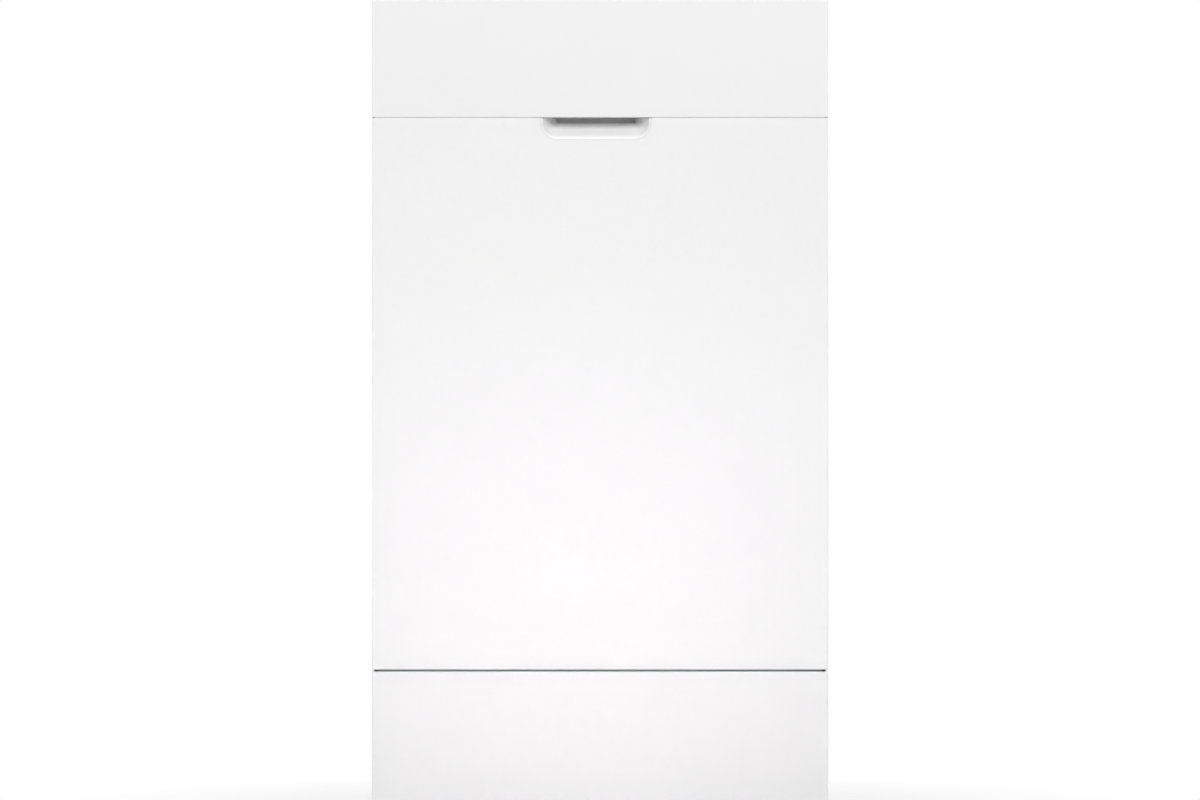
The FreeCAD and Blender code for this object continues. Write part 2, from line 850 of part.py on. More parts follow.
# Racks
def rack_wires(rack_half, y0, y1, floor, rim, band):
    post_x = rack_half + wire_radius + wire_gap
    post_y0 = y0 - wire_radius - wire_gap
    post_y1 = y1 + wire_radius + wire_gap
    post_top = rim - wire_radius - wire_gap
    band_x = post_x + wire + wire_gap
    band_y0 = post_y0 - wire - wire_gap
    band_y1 = post_y1 + wire + wire_gap
    long_z = floor + wire + wire_gap
    wires = []
    for y in spaced(y0 + rack_margin, y1 - rack_margin, cross_count):
        wires.append(across(-rack_half, rack_half, y, floor, wire_radius))
        for x in (-post_x, post_x):
            wires.append(upright(x, y, floor - wire_radius, post_top, wire_radius))
    for x in spaced(rack_margin - rack_half, rack_half - rack_margin, long_count):
        wires.append(along(x, y0, y1, long_z, wire_radius))
        for y in (post_y0, post_y1):
            wires.append(upright(x, y, long_z - wire_radius, post_top, wire_radius))
    for x in (-post_x, post_x):
        wires.append(along(x, post_y0 - wire_radius, post_y1 + wire_radius, rim, wire_radius))
    for y in (post_y0, post_y1):
        wires.append(across(wire_radius + wire_gap - post_x, post_x - wire_radius - wire_gap, y, rim,
                            wire_radius))
    for x in (-band_x, band_x):
        wires.append(along(x, band_y0 - wire_radius, band_y1 + wire_radius, band, wire_radius))
    for y in (band_y0, band_y1):
        wires.append(across(wire_radius + wire_gap - band_x, band_x - wire_radius - wire_gap, y, band,
                            wire_radius))
    return wires


def tines(rows, y0, y1, floor, height):
    foot_z = floor + wire + wire_gap + wire_radius + wire_gap
    count = int((y1 - y0 - 2 * rack_margin) // tine_pitch)
    places = spaced(y0 + rack_margin + tine_pitch / 2, y1 - rack_margin - tine_pitch / 2, count)
    return [upright(x, y, foot_z, foot_z + height, tine_radius) for x in rows for y in places]


def lower_rack():
    rows = spaced(rack_margin - lower_half, lower_half - rack_margin, long_count)[1:4]
    wires = rack_wires(lower_half, lower_front, lower_back, lower_floor, lower_floor + lower_height,
                       lower_floor + lower_band)
    return wires + tines(rows, lower_front, lower_back, lower_floor, lower_tine)


def upper_rack():
    rows = spaced(rack_margin - upper_half, upper_half - rack_margin, long_count)[1:5:3]
    wires = rack_wires(upper_half, upper_front, upper_back, upper_floor, upper_floor + upper_height,
                       upper_floor + upper_band)
    return wires + tines(rows, upper_front, upper_back, upper_floor, upper_tine)


def lower_rack_handle():
    back = lower_front - wire - 2 * wire_gap
    rim = lower_floor + lower_height
    grip = box(-grip_length / 2, grip_length / 2, back - grip_thickness, back,
               rim - grip_height / 2, rim + grip_height / 2)
    return rounded_corners(grip, "X", grip_edge)


def cutlery_basket():
    right = lower_half - basket_side_gap
    y0 = lower_front + basket_front_gap
    low = lower_floor + wire + wire_gap + wire_radius + wire_gap
    outer = box(right - basket_width, right, y0, y0 + basket_length, low, low + basket_height)
    outer = rounded_corners(outer, "Z", basket_corner)
    hollow = box(right - basket_width + basket_wall, right - basket_wall, y0 + basket_wall,
                 y0 + basket_length - basket_wall, low + basket_wall, low + basket_height + overrun)
    hollow = rounded_corners(hollow, "Z", basket_corner - basket_wall)
    return outer.cut(hollow)


wheel_rows = {
    "lower_front_wheels": liner_face + front_wheel_setback,
    "lower_rear_wheels": lower_back - rear_wheel_inset,
}
carrier_x = lower_half + wire + 4 * wire_gap
wheel_x = tub_half - wheel_side_gap - wheel_width


def wheel_carriers():
    carriers = []
    for y in wheel_rows.values():
        plate = box(carrier_x, carrier_x + carrier_thickness, y - carrier_half, y + carrier_half,
                    wheel_axis_z - carrier_half + overrun, lower_floor + carrier_top)
        boss = across(carrier_x + carrier_thickness / 2, wheel_x - touch_gap, y, wheel_axis_z,
                      wheel_boss_radius)
        axle = across(carrier_x + carrier_thickness / 2, wheel_x + wheel_width + overrun, y, wheel_axis_z,
                      axle_radius)
        carriers += pair(joined(plate, boss, axle))
    return carriers


def wheel_pair(y):
    tyre = across(wheel_x, wheel_x + wheel_width, y, wheel_axis_z, wheel_radius)
    tyre = tyre.makeFillet(wheel_edge, [edge for edge in tyre.Edges if edge.BoundBox.XLength < 1e-3])
    bore = across(wheel_x - overrun, wheel_x + wheel_width + overrun, y, wheel_axis_z,
                  axle_radius + axle_running)
    dish = across(wheel_x - overrun, wheel_x + wheel_dish_depth, y, wheel_axis_z, wheel_dish_radius)
    core = across(wheel_x - 2 * overrun, wheel_x + wheel_width, y, wheel_axis_z, wheel_core_radius)
    return pair(tyre.cut([bore, dish.cut(core)]))


rail_low = upper_floor + rail_rise
rail_x = upper_half + wire + 3 * wire_gap


def upper_rack_rails():
    rail = box(rail_x, rail_x + rail_width, upper_front, upper_back, rail_low, rail_low + rail_height)
    return pair(rounded_corners(rail, "Y", rail_edge))


def upper_rack_guides():
    guides = []
    for y in (frame_front + guide_front_gap, frame_front + guide_front_gap + guide_spacing):
        block = box(rail_x + rail_width - guide_cover, tub_half - fit_gap, y, y + guide_length,
                    rail_low - touch_gap - guide_lip, rail_low + rail_height + touch_gap + guide_lip)
        channel = box(rail_x - overrun, rail_x + rail_width + 2 * touch_gap, y - overrun,
                      y + guide_length + overrun,
                      rail_low - touch_gap, rail_low + rail_height + touch_gap)
        guides += pair(block.cut(channel))
    return guides


# Door skin, fascia and handle pocket
pocket_bottom = fascia_bottom - pocket_drop
pocket_half = pocket_width / 2
slot_half = finger_slot_width / 2
slot_front = front + fascia_wall + 2 * touch_gap


def pocket_form(grow):
    x = pocket_half - pocket_wall + grow
    back = front + pocket_depth + grow
    low = pocket_bottom + pocket_wall - grow
    outline = box(-x, x, front - grow, back, low, fascia_bottom - touch_gap)
    corners = [edge for edge in outline.Edges if edge_runs(edge, "Y") and edge.BoundBox.ZMax < low + 1e-3]
    outline = outline.makeFillet(pocket_radius + grow, corners)
    profile = [(front - grow, low), (front + pocket_lip + grow, low), (back, low + pocket_ramp),
               (back, cabinet_height), (front - grow, cabinet_height), (front - grow, low)]
    ramp = Part.Face(Part.makePolygon([Vector(-half, y, z) for y, z in profile]))
    return outline.common(ramp.extrude(Vector(cabinet_width, 0, 0)))


def sideways(shape):
    return shape.translated(Vector(pocket_offset, 0, 0))


def handle_pocket():
    slot_back = front + finger_slot_depth
    slot_floor = fascia_bottom - finger_slot_drop
    neck_top = fascia_bottom + finger_slot_height
    neck = box(-slot_half - pocket_wall, slot_half + pocket_wall, slot_front, slot_back + pocket_wall,
               fascia_bottom - touch_gap, neck_top + pocket_wall)
    throat = box(-slot_half - pocket_wall, slot_half + pocket_wall, front + pocket_depth / 2,
                 slot_back + pocket_wall, slot_floor - pocket_wall, fascia_bottom - touch_gap)
    flange = box(-pocket_half - pocket_flange, pocket_half + pocket_flange, front + panel_sheet + fit_gap,
                 front + panel_sheet + fit_gap + pocket_wall, pocket_bottom - pocket_flange,
                 panel_top - 3 * panel_sheet)
    slot = box(-slot_half, slot_half, slot_front + pocket_wall, slot_back,
               fascia_bottom - pocket_wall, neck_top)
    mouth = box(-slot_half, slot_half, front + pocket_depth / 2, slot_back,
                slot_floor, fascia_bottom)
    shell = joined(pocket_form(pocket_wall), neck, throat, flange).cut([pocket_form(0), slot, mouth])
    return sideways(shell.common(box(-half, half, front, rear, 0, cabinet_height)))


def door_outer_panel():
    sheet = panel_sheet
    outer = box(-half, half, front, front + panel_flange, door_bottom, panel_top)
    outer = rounded_front(outer, door_edge_radius)
    hollow = box(-half + sheet, half - sheet, front + sheet, front + panel_flange + overrun,
                 door_bottom + sheet, panel_top - sheet)
    cut_x = pocket_half + fit_gap
    opening = pocket_form(pocket_wall + fit_gap)
    mouth = box(-cut_x, cut_x, front - overrun, front + pocket_depth + 2 * pocket_wall,
                panel_top - 2 * sheet, panel_top + overrun)
    notch = box(bracket_x - hinge_side_gap, side_inner - fit_gap, hinge_y - hinge_bracket_half - overrun,
                front + panel_flange + overrun, door_bottom - overrun, door_bottom + 2 * sheet)
    return outer.cut([hollow, sideways(opening), sideways(mouth)] + pair(notch))


def fascia():
    back = liner_back - touch_gap
    outer = box(-half, half, front, back, fascia_bottom, door_top)
    outer = rounded_front(outer, door_edge_radius)
    hollow = box(-half + fascia_wall, half - fascia_wall, front + fascia_wall, back + overrun,
                 fascia_bottom + fascia_wall, door_top - fascia_wall)
    strip_hole = box(-strip_length / 2 - fit_gap, strip_length / 2 + fit_gap,
                     strip_y - strip_width / 2 - fit_gap,
                     strip_y + strip_width / 2 + fit_gap, door_top - fascia_wall - overrun,
                     door_top + overrun)
    neck_hole = box(-slot_half - pocket_wall - touch_gap, slot_half + pocket_wall + touch_gap,
                    slot_front - touch_gap, front + finger_slot_depth + pocket_wall + touch_gap,
                    fascia_bottom - overrun, fascia_bottom + fascia_wall + overrun)
    ribs = [box(x0, x1, front + fascia_rib_setback, front + fascia_wall, panel_top + fit_gap,
                fascia_bottom + fascia_wall / 2)
            for x0, x1 in ((-half + fascia_wall, pocket_offset - pocket_half - fit_gap),
                           (pocket_offset + pocket_half + fit_gap, half - fascia_wall))]
    return joined(outer.cut([hollow, strip_hole, sideways(neck_hole)]), *ribs)


# Controls
key_places = {
    "power_button": power_key_x,
    "program_button": program_key_x,
    "start_button": start_key_x,
}


def key_block(x, grow, z0, z1):
    block = box(x - key_length / 2 - grow, x + key_length / 2 + grow, strip_y - key_width / 2 - grow,
                strip_y + key_width / 2 + grow, z0, z1)
    return rounded_corners(block, "Z", key_corner)


def control_strip():
    plate = box(-strip_length / 2, strip_length / 2, strip_y - strip_width / 2, strip_y + strip_width / 2,
                strip_under, door_top)
    ledge = box(-strip_length / 2 - strip_ledge, strip_length / 2 + strip_ledge,
                front + fascia_wall + fit_gap,
                strip_y + strip_width / 2 + strip_ledge, strip_under, door_top - fascia_wall - fit_gap)
    posts = [disc(x, strip_y, door_top - board_drop + fit_gap, strip_under + overrun, key_stem_radius)
             for x in (power_key_x - key_post_gap, program_key_x + key_post_gap, start_key_x + key_post_gap)]
    window_seat = box(-window_length / 2 - fit_gap, window_length / 2 + fit_gap,
                      strip_y - window_width / 2 - fit_gap,
                      strip_y + window_width / 2 + fit_gap, door_top - window_thickness - fit_gap,
                      door_top + overrun)
    holes = [key_block(x, key_clearance, strip_under - overrun,
                       door_top + overrun) for x in key_places.values()]
    return joined(plate, ledge, *posts).cut(holes + [window_seat])


def key(x):
    skirt_top = strip_under - key_skirt_gap
    skirt_low = skirt_top - key_skirt_thickness
    cap = key_block(x, 0, skirt_low, door_top + key_proud)
    cap = rounded_top(cap, key_proud)
    skirt = key_block(x, key_skirt, skirt_low, skirt_top)
    stem = disc(x, strip_y, door_top - board_drop + dome_height + key_travel + touch_gap, skirt_low + overrun,
                key_stem_radius)
    return joined(cap, skirt, stem)


def display_window():
    glass = box(-window_length / 2, window_length / 2, strip_y - window_width / 2, strip_y + window_width / 2,
                door_top - window_thickness, door_top)
    return rounded_corners(glass, "Z", window_corner)


def control_board():
    top = door_top - board_drop
    board = box(-strip_length / 2, strip_length / 2, strip_y - board_width / 2, strip_y + board_width / 2,
                top - board_thickness, top)
    domes = [disc(x, strip_y, top - board_thickness / 2, top + dome_height,
                  dome_radius) for x in key_places.values()]
    return joined(board, *domes)


# Door liner, insulation and hinges
bracket_x = base_half - base_wall - hinge_plate
arm_x = bracket_x - hinge_side_gap - hinge_plate


def door_liner():
    sheet = box(-liner_half, liner_half, liner_back, liner_face, liner_bottom, liner_top)
    low = hinge_z + liner_recess_low
    high = fascia_bottom - liner_recess_high
    edge_x = liner_half - liner_recess_margin
    pan = box(-edge_x, edge_x, recess_face - liner_sheet, liner_face, low, high)
    pan = rounded_corners(pan, "Y", liner_recess_radius)
    hollow = box(-edge_x + liner_sheet, edge_x - liner_sheet, recess_face, liner_face + overrun,
                 low + liner_sheet, high - liner_sheet)
    hollow = rounded_corners(hollow, "Y", liner_recess_radius - liner_sheet)
    side = box(liner_half - liner_sheet, liner_half, liner_face - liner_flange, liner_face,
               hinge_z + liner_flange_rise, fascia_bottom - touch_gap)
    notch = box(spring_x - rope_radius - hinge_side_gap, half, liner_face - liner_flange,
                liner_face + overrun,
                door_bottom, hinge_z + hinge_bracket_half + hinge_side_gap)
    slot = box(-latch_slot_half, latch_slot_half, liner_back - overrun, liner_face + overrun,
               latch_z - tongue_thickness / 2 - latch_slot_room,
               latch_z + tongue_thickness / 2 + latch_slot_room)
    body_x = dispenser_width / 2 - dispenser_body_inset + fit_gap
    body_z = dispenser_height / 2 - dispenser_body_inset + fit_gap
    dispenser_hole = box(-body_x, body_x, recess_face - 2 * liner_sheet, liner_face + overrun,
                         dispenser_middle - body_z, dispenser_middle + body_z)
    return joined(sheet, pan, *pair(side)).cut([hollow, slot, dispenser_hole] + pair(notch))


def door_insulation():
    return box(-arm_x + hinge_arm_flange + hinge_plate, arm_x - hinge_arm_flange - hinge_plate,
               front + panel_sheet + fit_gap,
               front + panel_sheet + fit_gap + insulation_thickness,
               hinge_z + hinge_arm_flange, pocket_bottom - pocket_flange - hinge_side_gap)


def hinge_arm():
    eye = across(arm_x, arm_x + hinge_plate, hinge_y, hinge_z, hinge_eye_radius)
    top = hinge_z + hinge_arm_length
    plate = box(arm_x, arm_x + hinge_plate, hinge_y - hinge_eye_radius, liner_back - fit_gap,
                hinge_z + spring_eye_rise + hinge_eye_radius, top)
    neck = box(arm_x, arm_x + hinge_plate, hinge_y - hinge_eye_radius, hinge_y + hinge_eye_radius, hinge_z,
               hinge_z + spring_eye_rise + hinge_eye_radius + overrun)
    flange = box(arm_x - hinge_arm_flange, arm_x + hinge_plate, liner_back - fit_gap - hinge_plate,
                 liner_back - fit_gap, top - hinge_flange_length, top)
    spring_eye = across(spring_x - rope_radius, arm_x + overrun, hinge_y, hinge_z + spring_eye_rise,
                        spring_eye_radius)
    bore = across(arm_x - overrun, arm_x + hinge_plate + overrun, hinge_y, hinge_z,
                  hinge_pin_radius + hinge_running)
    return joined(eye, plate, neck, flange, spring_eye).cut(bore)


def hinge_bracket():
    reach = box(bracket_x, bracket_x + hinge_plate, hinge_y, base_front + base_wall + hinge_bracket_length,
                hinge_z - hinge_bracket_half, hinge_z + hinge_bracket_half)
    eye = across(bracket_x, bracket_x + hinge_plate, hinge_y, hinge_z, hinge_bracket_half)
    plate = box(bracket_x, bracket_x + hinge_plate, base_front + base_wall + touch_gap,
                base_front + base_wall + hinge_bracket_length, hinge_z - hinge_bracket_drop, hinge_z)
    bore = across(bracket_x - overrun, bracket_x + hinge_plate + overrun, hinge_y, hinge_z,
                  hinge_pin_radius + hinge_running)
    return joined(reach, eye, plate).cut(bore)


def hinge_pin():
    inner = arm_x - pin_head
    outer = bracket_x + hinge_plate
    shank = across(inner, outer + pin_head, hinge_y, hinge_z, hinge_pin_radius)
    inner_head = across(inner, arm_x - fit_gap, hinge_y, hinge_z, pin_head_radius)
    outer_head = across(outer + fit_gap, outer + pin_head, hinge_y, hinge_z, pin_head_radius)
    return joined(shank, inner_head, outer_head)


def door_spring():
    coil = along(spring_x, spring_front, spring_back, spring_z, spring_radius)
    eye_back = Vector(spring_x, hinge_y + spring_eye_radius + rope_radius, hinge_z + spring_eye_rise)
    rope = rod(Vector(spring_x, spring_front, spring_z), eye_back, rope_radius)
    return joined(coil, rope)


# Latch
hook_y = frame_front - tongue_length - latch_play
tongue_top = latch_z + tongue_thickness / 2
hook_z = tongue_top + hook_lift + hook_hub_radius


def latch_strike():
    tongue = box(-tongue_half, tongue_half, frame_front - tongue_length, frame_front,
                 latch_z - tongue_thickness / 2, tongue_top)
    notch_front = frame_front - tongue_length + tongue_notch
    notch = box(-tongue_half, tongue_half, notch_front, notch_front + tongue_notch, latch_z,
                tongue_top + overrun)
    foot_plate = box(-strike_plate_half, strike_plate_half, frame_front - strike_plate, frame_front,
                     latch_z - tongue_thickness, tongue_top + tongue_thickness)
    return joined(tongue, foot_plate).cut(notch)


def latch_case():
    ear_x = latch_slot_half + touch_gap
    plate = box(-ear_x - latch_plate_edge, ear_x + latch_plate_edge, liner_back - fit_gap - latch_ear,
                liner_back - fit_gap, latch_z - latch_plate_edge, hook_z + latch_case_rise)
    window = box(-latch_slot_half, latch_slot_half, liner_back - 3 * latch_ear, liner_back,
                 latch_z - tongue_thickness / 2 - latch_slot_room, hook_z + latch_case_rise - overrun)
    ear = box(ear_x, ear_x + latch_ear, hook_y - hook_hub_radius, liner_back - fit_gap,
              latch_z - latch_ear, hook_z + latch_case_rise)
    pin = across(-ear_x - latch_ear / 2, ear_x + latch_ear / 2, hook_y, hook_z, hook_pin_radius)
    return joined(plate.cut(window), *pair(ear), pin)


def latch_hook():
    hub = across(-hook_half, hook_half, hook_y, hook_z, hook_hub_radius)
    beak_front = frame_front - tongue_length + tongue_notch + latch_play
    beak_back = beak_front + hook_beak_length
    bar_low = tongue_top + hook_lift + hook_beak
    bar = box(-hook_half, hook_half, hook_y, beak_back, bar_low, bar_low + hook_bar)
    beak = box(-hook_half, hook_half, beak_front, beak_back, tongue_top + hook_lift, bar_low)
    bore = across(-hook_half - overrun, hook_half + overrun, hook_y, hook_z, hook_pin_radius + hinge_running)
    return joined(hub, bar, beak).cut(bore)


# Dispenser
flange_face = recess_face + dispenser_flange
cup_low = dispenser_middle - cup_height / 2
lid_axis_y = flange_face + lid_knuckle + touch_gap
lid_axis_z = cup_low - lid_overlap - lid_knuckle
cup_left = cup_x - cup_width / 2
cup_right = cup_x + cup_width / 2


def dispenser_body():
    flange = box(-dispenser_width / 2, dispenser_width / 2, recess_face, flange_face,
                 dispenser_bottom, dispenser_bottom + dispenser_height)
    flange = rounded_corners(flange, "Y", dispenser_radius)
    inset = dispenser_body_inset
    body = box(-dispenser_width / 2 + inset, dispenser_width / 2 - inset, recess_face - dispenser_body_depth,
               recess_face + overrun, dispenser_bottom + inset, dispenser_bottom + dispenser_height - inset)
    cup = box(cup_left, cup_right, flange_face - cup_depth, flange_face + overrun, cup_low,
              cup_low + cup_height)
    cup = rounded_corners(cup, "Y", cup_radius)
    socket = along(rinse_cap_x, flange_face - rinse_plug_depth, flange_face + overrun, dispenser_middle,
                   rinse_plug_radius + touch_gap)
    lugs = []
    for x in (cup_left - lid_overlap, cup_right + lid_overlap):
        lugs.append(box(x - lid_knuckle, x + lid_knuckle, flange_face - overrun, lid_axis_y + lid_knuckle,
                        lid_axis_z - lid_knuckle, lid_axis_z + lid_knuckle))
    pin = across(cup_left - lid_overlap, cup_right + lid_overlap, lid_axis_y, lid_axis_z, lid_pin_radius)
    return joined(joined(flange, body).cut([cup, socket]), *lugs, pin)


def dispenser_lid():
    low = lid_axis_z
    plate_face = flange_face + touch_gap
    plate = box(cup_left + touch_gap, cup_right - touch_gap, plate_face, plate_face + lid_thickness,
                low, cup_low + cup_height + lid_overlap)
    knuckle = across(cup_left + touch_gap, cup_right - touch_gap, lid_axis_y, lid_axis_z, lid_knuckle)
    bore = across(cup_left - overrun, cup_right + overrun, lid_axis_y, lid_axis_z,
                  lid_pin_radius + axle_running)
    return joined(plate, knuckle).cut(bore)


def rinse_aid_cap():
    base = flange_face + touch_gap
    cap = along(rinse_cap_x, base, base + rinse_cap_proud, dispenser_middle, rinse_cap_radius)
    plug = along(rinse_cap_x, flange_face - rinse_plug_depth + touch_gap, base + overrun, dispenser_middle,
                 rinse_plug_radius)
    grip = box(rinse_cap_x - rinse_grip_half, rinse_cap_x + rinse_grip_half, base + rinse_cap_proud - overrun,
               base + rinse_cap_proud + rinse_grip_rise, dispenser_middle - rinse_grip_width / 2,
               dispenser_middle + rinse_grip_width / 2)
    return joined(cap, plug, grip)


os.makedirs("parts", exist_ok=True)
right_side = side_panel()
save("side_panel_left", mirrored(right_side))
save("side_panel_right", right_side)
save("top_cover", top_cover())
save("rear_panel", rear_panel())
save("front_frame", *front_frame())
save("worktop_tabs", *pair(worktop_tab()))
save("base_pan", base_pan())
save("plinth", plinth())
for name, (x, y) in foot_places.items():
    save(name, foot(x, y))
save("tub_walls", *tub_walls())
save("tub_floor", tub_floor())
save("door_seal", *door_seal())
save("sump", sump())
save("filter_plate", filter_plate())
save("filter_cylinder", filter_cylinder())
save("softener_tank", softener_tank())
save("salt_cap", salt_cap())
save("circulation_pump", circulation_pump())
save("pump_rotor", pump_rotor())
save("drain_pump", drain_pump())
save("drain_impeller", drain_impeller())
save("inlet_valve", inlet_valve())
save("riser_duct", *riser_duct())
save("ceiling_sprayer", ceiling_sprayer())
save("lower_spray_arm", lower_spray_arm())
save("upper_spray_arm", upper_spray_arm())
save("upper_arm_feed", upper_arm_feed())
save("lower_rack", *lower_rack())
save("lower_rack_handle", lower_rack_handle())
save("lower_wheel_carriers", *wheel_carriers())
for name, y in wheel_rows.items():
    save(name, *wheel_pair(y))
save("cutlery_basket", cutlery_basket())
save("upper_rack", *upper_rack())
save("upper_rack_rails", *upper_rack_rails())
save("upper_rack_guides", *upper_rack_guides())
save("door_outer_panel", door_outer_panel())
save("fascia", fascia())
save("handle_pocket", handle_pocket())
save("control_strip", control_strip())
for name, x in key_places.items():
    save(name, key(x))
save("display_window", display_window())
save("control_board", control_board())
save("door_liner", door_liner())
save("door_insulation", door_insulation())
save("hinge_arms", *pair(hinge_arm()))
save("hinge_brackets", *pair(hinge_bracket()))
save("hinge_pins", *pair(hinge_pin()))
save("door_springs", *pair(door_spring()))
save("latch_strike", latch_strike())
save("latch_case", latch_case())
save("latch_hook", latch_hook())
save("dispenser_body", dispenser_body())
save("dispenser_lid", dispenser_lid())
save("rinse_aid_cap", rinse_aid_cap())
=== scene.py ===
import bpy
import bmesh
import json
import math
from mathutils import Matrix, Vector

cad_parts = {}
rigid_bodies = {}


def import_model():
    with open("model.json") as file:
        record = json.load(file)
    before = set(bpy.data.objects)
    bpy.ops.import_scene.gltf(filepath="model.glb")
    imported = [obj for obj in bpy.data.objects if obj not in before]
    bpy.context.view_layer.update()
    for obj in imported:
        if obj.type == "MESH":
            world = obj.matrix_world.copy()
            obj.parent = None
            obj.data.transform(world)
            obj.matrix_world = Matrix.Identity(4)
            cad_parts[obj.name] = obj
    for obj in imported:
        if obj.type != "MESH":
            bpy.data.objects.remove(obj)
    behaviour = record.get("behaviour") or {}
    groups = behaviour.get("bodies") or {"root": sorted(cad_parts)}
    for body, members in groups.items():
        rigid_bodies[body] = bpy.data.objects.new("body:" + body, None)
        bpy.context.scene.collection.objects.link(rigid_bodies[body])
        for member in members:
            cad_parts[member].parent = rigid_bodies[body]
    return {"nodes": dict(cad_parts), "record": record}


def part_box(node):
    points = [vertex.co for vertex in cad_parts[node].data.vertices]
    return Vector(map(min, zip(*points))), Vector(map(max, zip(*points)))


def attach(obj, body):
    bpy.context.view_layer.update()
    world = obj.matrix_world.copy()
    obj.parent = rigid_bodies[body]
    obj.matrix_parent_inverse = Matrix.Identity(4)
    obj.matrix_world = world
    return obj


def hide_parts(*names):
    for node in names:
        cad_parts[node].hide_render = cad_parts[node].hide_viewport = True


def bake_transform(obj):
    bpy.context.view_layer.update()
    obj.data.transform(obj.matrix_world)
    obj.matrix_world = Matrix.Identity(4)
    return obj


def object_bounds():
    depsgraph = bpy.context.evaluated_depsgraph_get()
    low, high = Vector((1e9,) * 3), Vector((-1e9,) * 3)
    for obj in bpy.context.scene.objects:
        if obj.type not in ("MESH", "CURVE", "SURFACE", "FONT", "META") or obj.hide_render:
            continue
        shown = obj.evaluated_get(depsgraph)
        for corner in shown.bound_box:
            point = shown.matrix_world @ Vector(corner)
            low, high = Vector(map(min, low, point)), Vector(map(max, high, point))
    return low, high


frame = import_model()
nodes = frame["nodes"]
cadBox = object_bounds()
mm = 0.001
print("frame loaded:", len(nodes), "nodes")


class Wire:
    # one socket of a node tree; sums and products of wires add Math nodes
    def __init__(self, owner, socket):
        self.owner, self.socket = owner, socket

    def math(self, operation, first, second):
        return self.owner.add("ShaderNodeMath", settings={"operation": operation}, n0=first, n1=second)

    def within(self, low, high):
        raised = self.math("MAXIMUM", self, low)
        return raised.math("MINIMUM", raised, high)

    def __add__(self, other): return self.math("ADD", self, other)
    def __radd__(self, other): return self.math("ADD", other, self)
    def __sub__(self, other): return self.math("SUBTRACT", self, other)
    def __rsub__(self, other): return self.math("SUBTRACT", other, self)
    def __mul__(self, other): return self.math("MULTIPLY", self, other)
    def __rmul__(self, other): return self.math("MULTIPLY", other, self)


class Tree:
    # a shader or geometry tree; add makes any node: its type, its settings, then its sockets
    def __init__(self, tree):
        self.tree = tree

    def add(self, kind, out=0, settings=None, **sockets):
        node = self.tree.nodes.new(kind)
        for key, value in (settings or {}).items():
            setattr(node, key, value)
        for key, value in sockets.items():
            numbered = key[0] == "n" and key[1:].isdigit()  # n2 is the third input
            slot = node.inputs[int(key[1:]) if numbered else key.replace("_", " ")]
            if isinstance(value, Wire):
                self.link(value, slot)
            else:
                slot.default_value = value
        return Wire(self, node.outputs[out])

    def link(self, wire, slot):
        self.tree.links.new(wire.socket, slot)


class Finish(Tree):
    # a material with its Principled shader and the object's own coordinates at hand
    def __init__(self, name, **plain):
        self.material = bpy.data.materials.new(name)
        self.material.use_nodes = True
        super().__init__(self.material.node_tree)
        self.shader = self.tree.nodes["Principled BSDF"]
        for socket, value in plain.items():
            self.shader.inputs[socket.replace("_", " ")].default_value = value
        self.place = self.add("ShaderNodeTexCoord", out="Object")

    def noise(self, scale, detail=3.0, where=None, rough=0.5):
        return self.add("ShaderNodeTexNoise", Vector=where or self.place, Scale=scale, Detail=detail,
                        Roughness=rough)

    def blend(self, factor, first, second):
        return self.add("ShaderNodeMix", out=2, settings={"data_type": "RGBA"}, n0=factor, n6=first, n7=second)

    def bump(self, height, distance):
        return self.add("ShaderNodeBump", Height=height, Distance=distance, Strength=1.0)

    def feed(self, **sockets):
        for key, wire in sockets.items():
            self.link(wire, self.shader.inputs[key.replace("_", " ")])
        return self


def shade(r, g=None, b=None):
    return (r, r if g is None else g, r if b is None else b, 1.0)


# Finishes
def enamel(name, look):
    f = Finish(name, Coat_Weight=look["coat"], Coat_Roughness=look["coatRough"], IOR=1.5)
    drift = f.noise(look["driftScale"], detail=2.0)
    peel = f.noise(look["peelScale"], detail=2.0)
    return f.feed(Base_Color=f.blend(drift, shade(look["shadeLow"]), shade(look["shadeHigh"])),
                  Roughness=look["rough"] + (peel - 0.5) * look["roughVary"],
                  Normal=f.bump(peel, look["peelHeight"]))


def brushed(name, look):
    f = Finish(name, Metallic=1.0)
    stretched = f.add("ShaderNodeMapping", Vector=f.place, Scale=look["along"])
    grain = f.noise(look["grainScale"], detail=4.0, where=stretched, rough=0.65)
    cloud = f.noise(look["cloudScale"], detail=2.0)
    return f.feed(Base_Color=f.blend(grain, shade(*look["dark"]), shade(*look["light"])),
                  Roughness=look["rough"] + (grain - 0.5) * look["roughVary"] + (cloud - 0.5) * look["cloudVary"],
                  Normal=f.bump(grain, look["grainHeight"]))


def zinc(name, look):
    f = Finish(name, Metallic=0.9)
    cells = f.add("ShaderNodeTexVoronoi", out="Color", Vector=f.place, Scale=look["cellScale"])
    grey = f.add("ShaderNodeSeparateColor", Color=cells)
    return f.feed(Base_Color=f.blend(grey, shade(*look["dark"]), shade(*look["light"])),
                  Roughness=look["rough"] + (grey - 0.5) * look["roughVary"],
                  Normal=f.bump(f.noise(look["fineScale"]), look["fineHeight"]))


def moulded(name, look):
    f = Finish(name, Coat_Weight=look["coat"])
    grain = f.noise(look["grainScale"])
    drift = f.noise(look["driftScale"], detail=2.0)
    return f.feed(Base_Color=f.blend(drift, shade(*look["dark"]), shade(*look["light"])),
                  Roughness=look["rough"] + (grain - 0.5) * look["roughVary"],
                  Normal=f.bump(grain, look["grainHeight"]))


